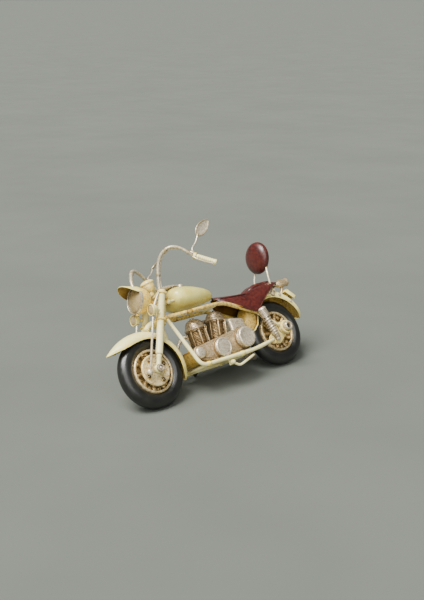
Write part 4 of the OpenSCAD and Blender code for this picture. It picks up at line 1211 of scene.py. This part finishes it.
dial_at = along((82.9, 0, 51.2), (0.12, 0, 1), (1, 0, 0))
dial = Shape().turn([(0, -3.9), (1.6, -3.6), (2.9, -2.7), (3.7, -1.2), (3.9, 0.3), (3.85, 1.3), (4.3, 1.5),
                     (4.5, 1.9), (4.45, 2.5), (4.1, 2.9), (3.4, 3.4), (2.3, 3.85), (1.1, 4.05), (0, 4.1)],
                    dial_at, n=48)
dial.bar([(82.6, 0, 44.6), (82.9, 0, 48)], 1.6, n=16)
piece("gauge_pot", dial, WARM, "steering", ["gauge"], sharp=40)

# ---------------------------------------------------------------- handlebar
# Line of each riser, from its foot on the fork to the grip: 1 is the left side, -1 the right
BAR_LINES = {
    1: ((82.4, 8.8, 45.6), (81.2, 9.8, 52), (79, 12, 60.5), (76.6, 16, 65.8), (72.6, 20.6, 67.6), (67.6, 23.6, 65.0),
        (61.8, 26.4, 57.8)),
    -1: ((82.4, -8.8, 45.6), (84, -12.5, 51), (83.2, -15.2, 57.5), (79.8, -18, 63.8), (74.5, -21.4, 67.8),
         (68.3, -24, 65.4), (61.8, -26.4, 57.8)),
}


def bars(shape, side):
    line = [Vector(p) for p in BAR_LINES[side]]
    shape.bar(line, 0.95 if side > 0 else 1.15, smooth=True, n=16)
    if side > 0:
        cable = [p + Vector((-1.45, -0.5, -0.65)) for p in line[:-1]]
        cable[0] = Vector((80.6, 8.2, 43.6))
        shape.bar(cable, 0.6, smooth=True, n=10)
    for i, t in ((1, 0.3), (3, 0.5), (5, 0.6)):
        p = line[i].lerp(line[i + 1], t)
        d = (line[i + 1] - line[i]).normalized()
        shape.turn([(0.9, -0.5), (1.4, -0.4), (1.4, 0.4), (0.9, 0.5)], along(p, d), n=16, closed=True)


def grip_line(side):
    """Inner and outer end of one grip."""
    return Vector((61.8, 26.4 * side, 57.8)), Vector((52.6, 33 * side, 48.8))


def grip(shape, side):
    a, b = grip_line(side)
    at = along(a, b - a, (0, 0, 1))
    long = (b - a).length
    profile = [(0, -0.4), (1.9, -0.4), (2.15, 0), (2.15, 1.2), (1.8, 1.6), (1.45, 1.8)]
    for k in range(8):
        z = 2.4 + k * (long - 4.4) / 8
        profile += [(1.5, z), (1.68, z + 0.3), (1.68, z + 0.8), (1.5, z + 1.1)]
    profile += [(1.75, long - 1.4), (1.85, long - 0.6), (1.6, long), (0.9, long + 0.2), (0, long + 0.2)]
    shape.turn(profile, at, n=24)


def controls(shape, side):
    a, b = grip_line(side)
    d = (b - a).normalized()
    top = a + d * 0.6 + Vector((0.4, 0, 1.9))
    shape.ball((0, 0, 0), 1.0, 18, (1.1, 1.3, 2.9), along(top, d, (0, 0, 1)))
    lever = [a + d * 0.4 + Vector((1.9, 0.4 * side, -0.5)), a + d * 4.0 + Vector((3.0, 1.2 * side, -1.1)),
             a + d * 9.0 + Vector((2.8, 1.3 * side, -1.3)), a + d * 13.2 + Vector((2.0, 1.1 * side, -1.2))]
    shape.bar(lever, [(0, 0.6), (0.8, 0.45), (1, 0.65)], smooth=True, n=10)


piece("handlebars", mirrored(bars), WIRE, "steering", ["handlebar"], sharp=60)
piece("hand_grips", mirrored(grip), CREAM, "steering", ["grips"], sharp=40)
piece("hand_levers", mirrored(controls), WIRE, "steering", (), sharp=60)

# Foot, neck and tip of each mirror, and the way its face looks
MIRRORS = {
    1: ((61.6, 26.6, 58.4), (53.8, 26.6, 69.7), (42.6, 28.6, 77.6), (0, 1, 0)),
    -1: ((61.6, -26.6, 58.4), (52.9, -29.7, 68.5), (41.2, -35.6, 73.2), (0.4, -0.3, 0.86)),
}


def leaf_half_width(t):
    """Half width of a mirror's leaf at share t of its length."""
    return 3.25 * math.sin(math.pi * t ** 0.85) ** 0.7 + 0.04


def mirror(shape, side):
    foot, neck, tip, face_up = (Vector(p) for p in MIRRORS[side])
    reach = tip - neck
    shape.bar([foot, foot + Vector((-0.5, 0, 3.7)), neck.lerp(foot, 0.35), neck + reach * 0.12],
              [(0, 0.75), (0.2, 0.55), (1, 0.6)], smooth=True, n=12)
    at = along(neck, reach, face_up)
    long = reach.length
    face = []
    for i in range(19):
        t = i / 18
        w = leaf_half_width(t)
        line_f, line_b = [], []
        for k in range(11):
            u = k / 5 - 1
            bowl_depth = 0.55 * (1 - u * u) * math.sin(math.pi * t)
            vein = 0.12 * math.cos(math.pi * 6 * (t + abs(u) * 0.25)) * (1 - u * u) + 0.2 * math.exp(-(u / 0.12) ** 2)
            line_f.append(at @ Vector((0.5 - bowl_depth * 0.7 + 0.14 * (abs(u) > 0.9), w * u, t * long)))
            line_b.append(at @ Vector((-0.35 - bowl_depth + vein * -0.8, w * u, t * long)))
        face.append(line_f + line_b[::-1])
    shape.skin(face)
    rim = [at @ Vector((0.15, edge * leaf_half_width(t), t * long)) for edge, ts in (
        (1, [k / 16 for k in range(17)]), (-1, [1 - k / 16 for k in range(1, 17)])) for t in ts]
    shape.bar(rim, 0.42, smooth=True, n=8)


piece("mirror_leaves", mirrored(mirror), SILVER, "steering", ["mirrors"], sharp=70)

# ---------------------------------------------------------------- stage, light and camera
FLOOR = 60  # metres from the middle to each side
floor_mesh = bpy.data.meshes.new("floor")
floor_mesh.from_pydata([(-FLOOR, -FLOOR, 0), (FLOOR, -FLOOR, 0), (FLOOR, FLOOR, 0), (-FLOOR, FLOOR, 0)], [],
                       [(0, 1, 2, 3)])
floor = bpy.data.objects.new("floor", floor_mesh)
bpy.context.scene.collection.objects.link(floor)
ground = Finish("floor_paper")
ground.link(ground.mix(ground.remap(ground.noise(160.0, 2.0), 0.3, 0.7), srgb(95, 100, 93, 1), srgb(91, 96, 89, 1)),
            "Base Color")
ground.link(ground.remap(ground.noise(40.0, 2.0), 0.3, 0.7, 0.85, 0.95), "Roughness")
floor_mesh.materials.append(ground.material)

world = bpy.data.worlds.new("studio")
world.use_nodes = True
world.node_tree.nodes["Background"].inputs["Color"].default_value = srgb(196, 198, 194, 1)
world.node_tree.nodes["Background"].inputs["Strength"].default_value = 0.4
bpy.context.scene.world = world


def soft_sun(name, place, strength, spread, colour):
    """A lamp far away in the direction of place, as soft as a studio box of this many degrees."""
    data = bpy.data.lights.new(name, "SUN")
    data.energy = strength
    data.angle = math.radians(spread)
    data.color = colour
    obj = bpy.data.objects.new(name, data)
    obj.rotation_euler = Vector(place).to_track_quat("Z", "Y").to_euler()
    bpy.context.scene.collection.objects.link(obj)


soft_sun("key", (-0.46, 0.12, 1.0), 7.6, 36, (1.0, 0.98, 0.94))
soft_sun("fill", (-0.60, -0.80, 0.75), 2.0, 60, (1.0, 1.0, 0.98))

# The camera stands in front of the bike, on its left, and looks down at it
CAMERA_REACH = (421.29, 407.22, 232.61)
CAMERA_LOOK = Vector((0.63574, 0.70703, -0.30975))
camera_data = bpy.data.cameras.new("camera")
camera_data.lens = 55.86
camera_data.sensor_width = 36
camera_data.clip_start = 0.01
camera = bpy.data.objects.new("camera", camera_data)
camera.location = ((BOX_MID[0] - CAMERA_REACH[0]) * MM, (BOX_MID[1] - CAMERA_REACH[1]) * MM, CAMERA_REACH[2] * MM)
camera.rotation_euler = CAMERA_LOOK.to_track_quat("-Z", "Y").to_euler()
bpy.context.scene.collection.objects.link(camera)
bpy.context.scene.camera = camera
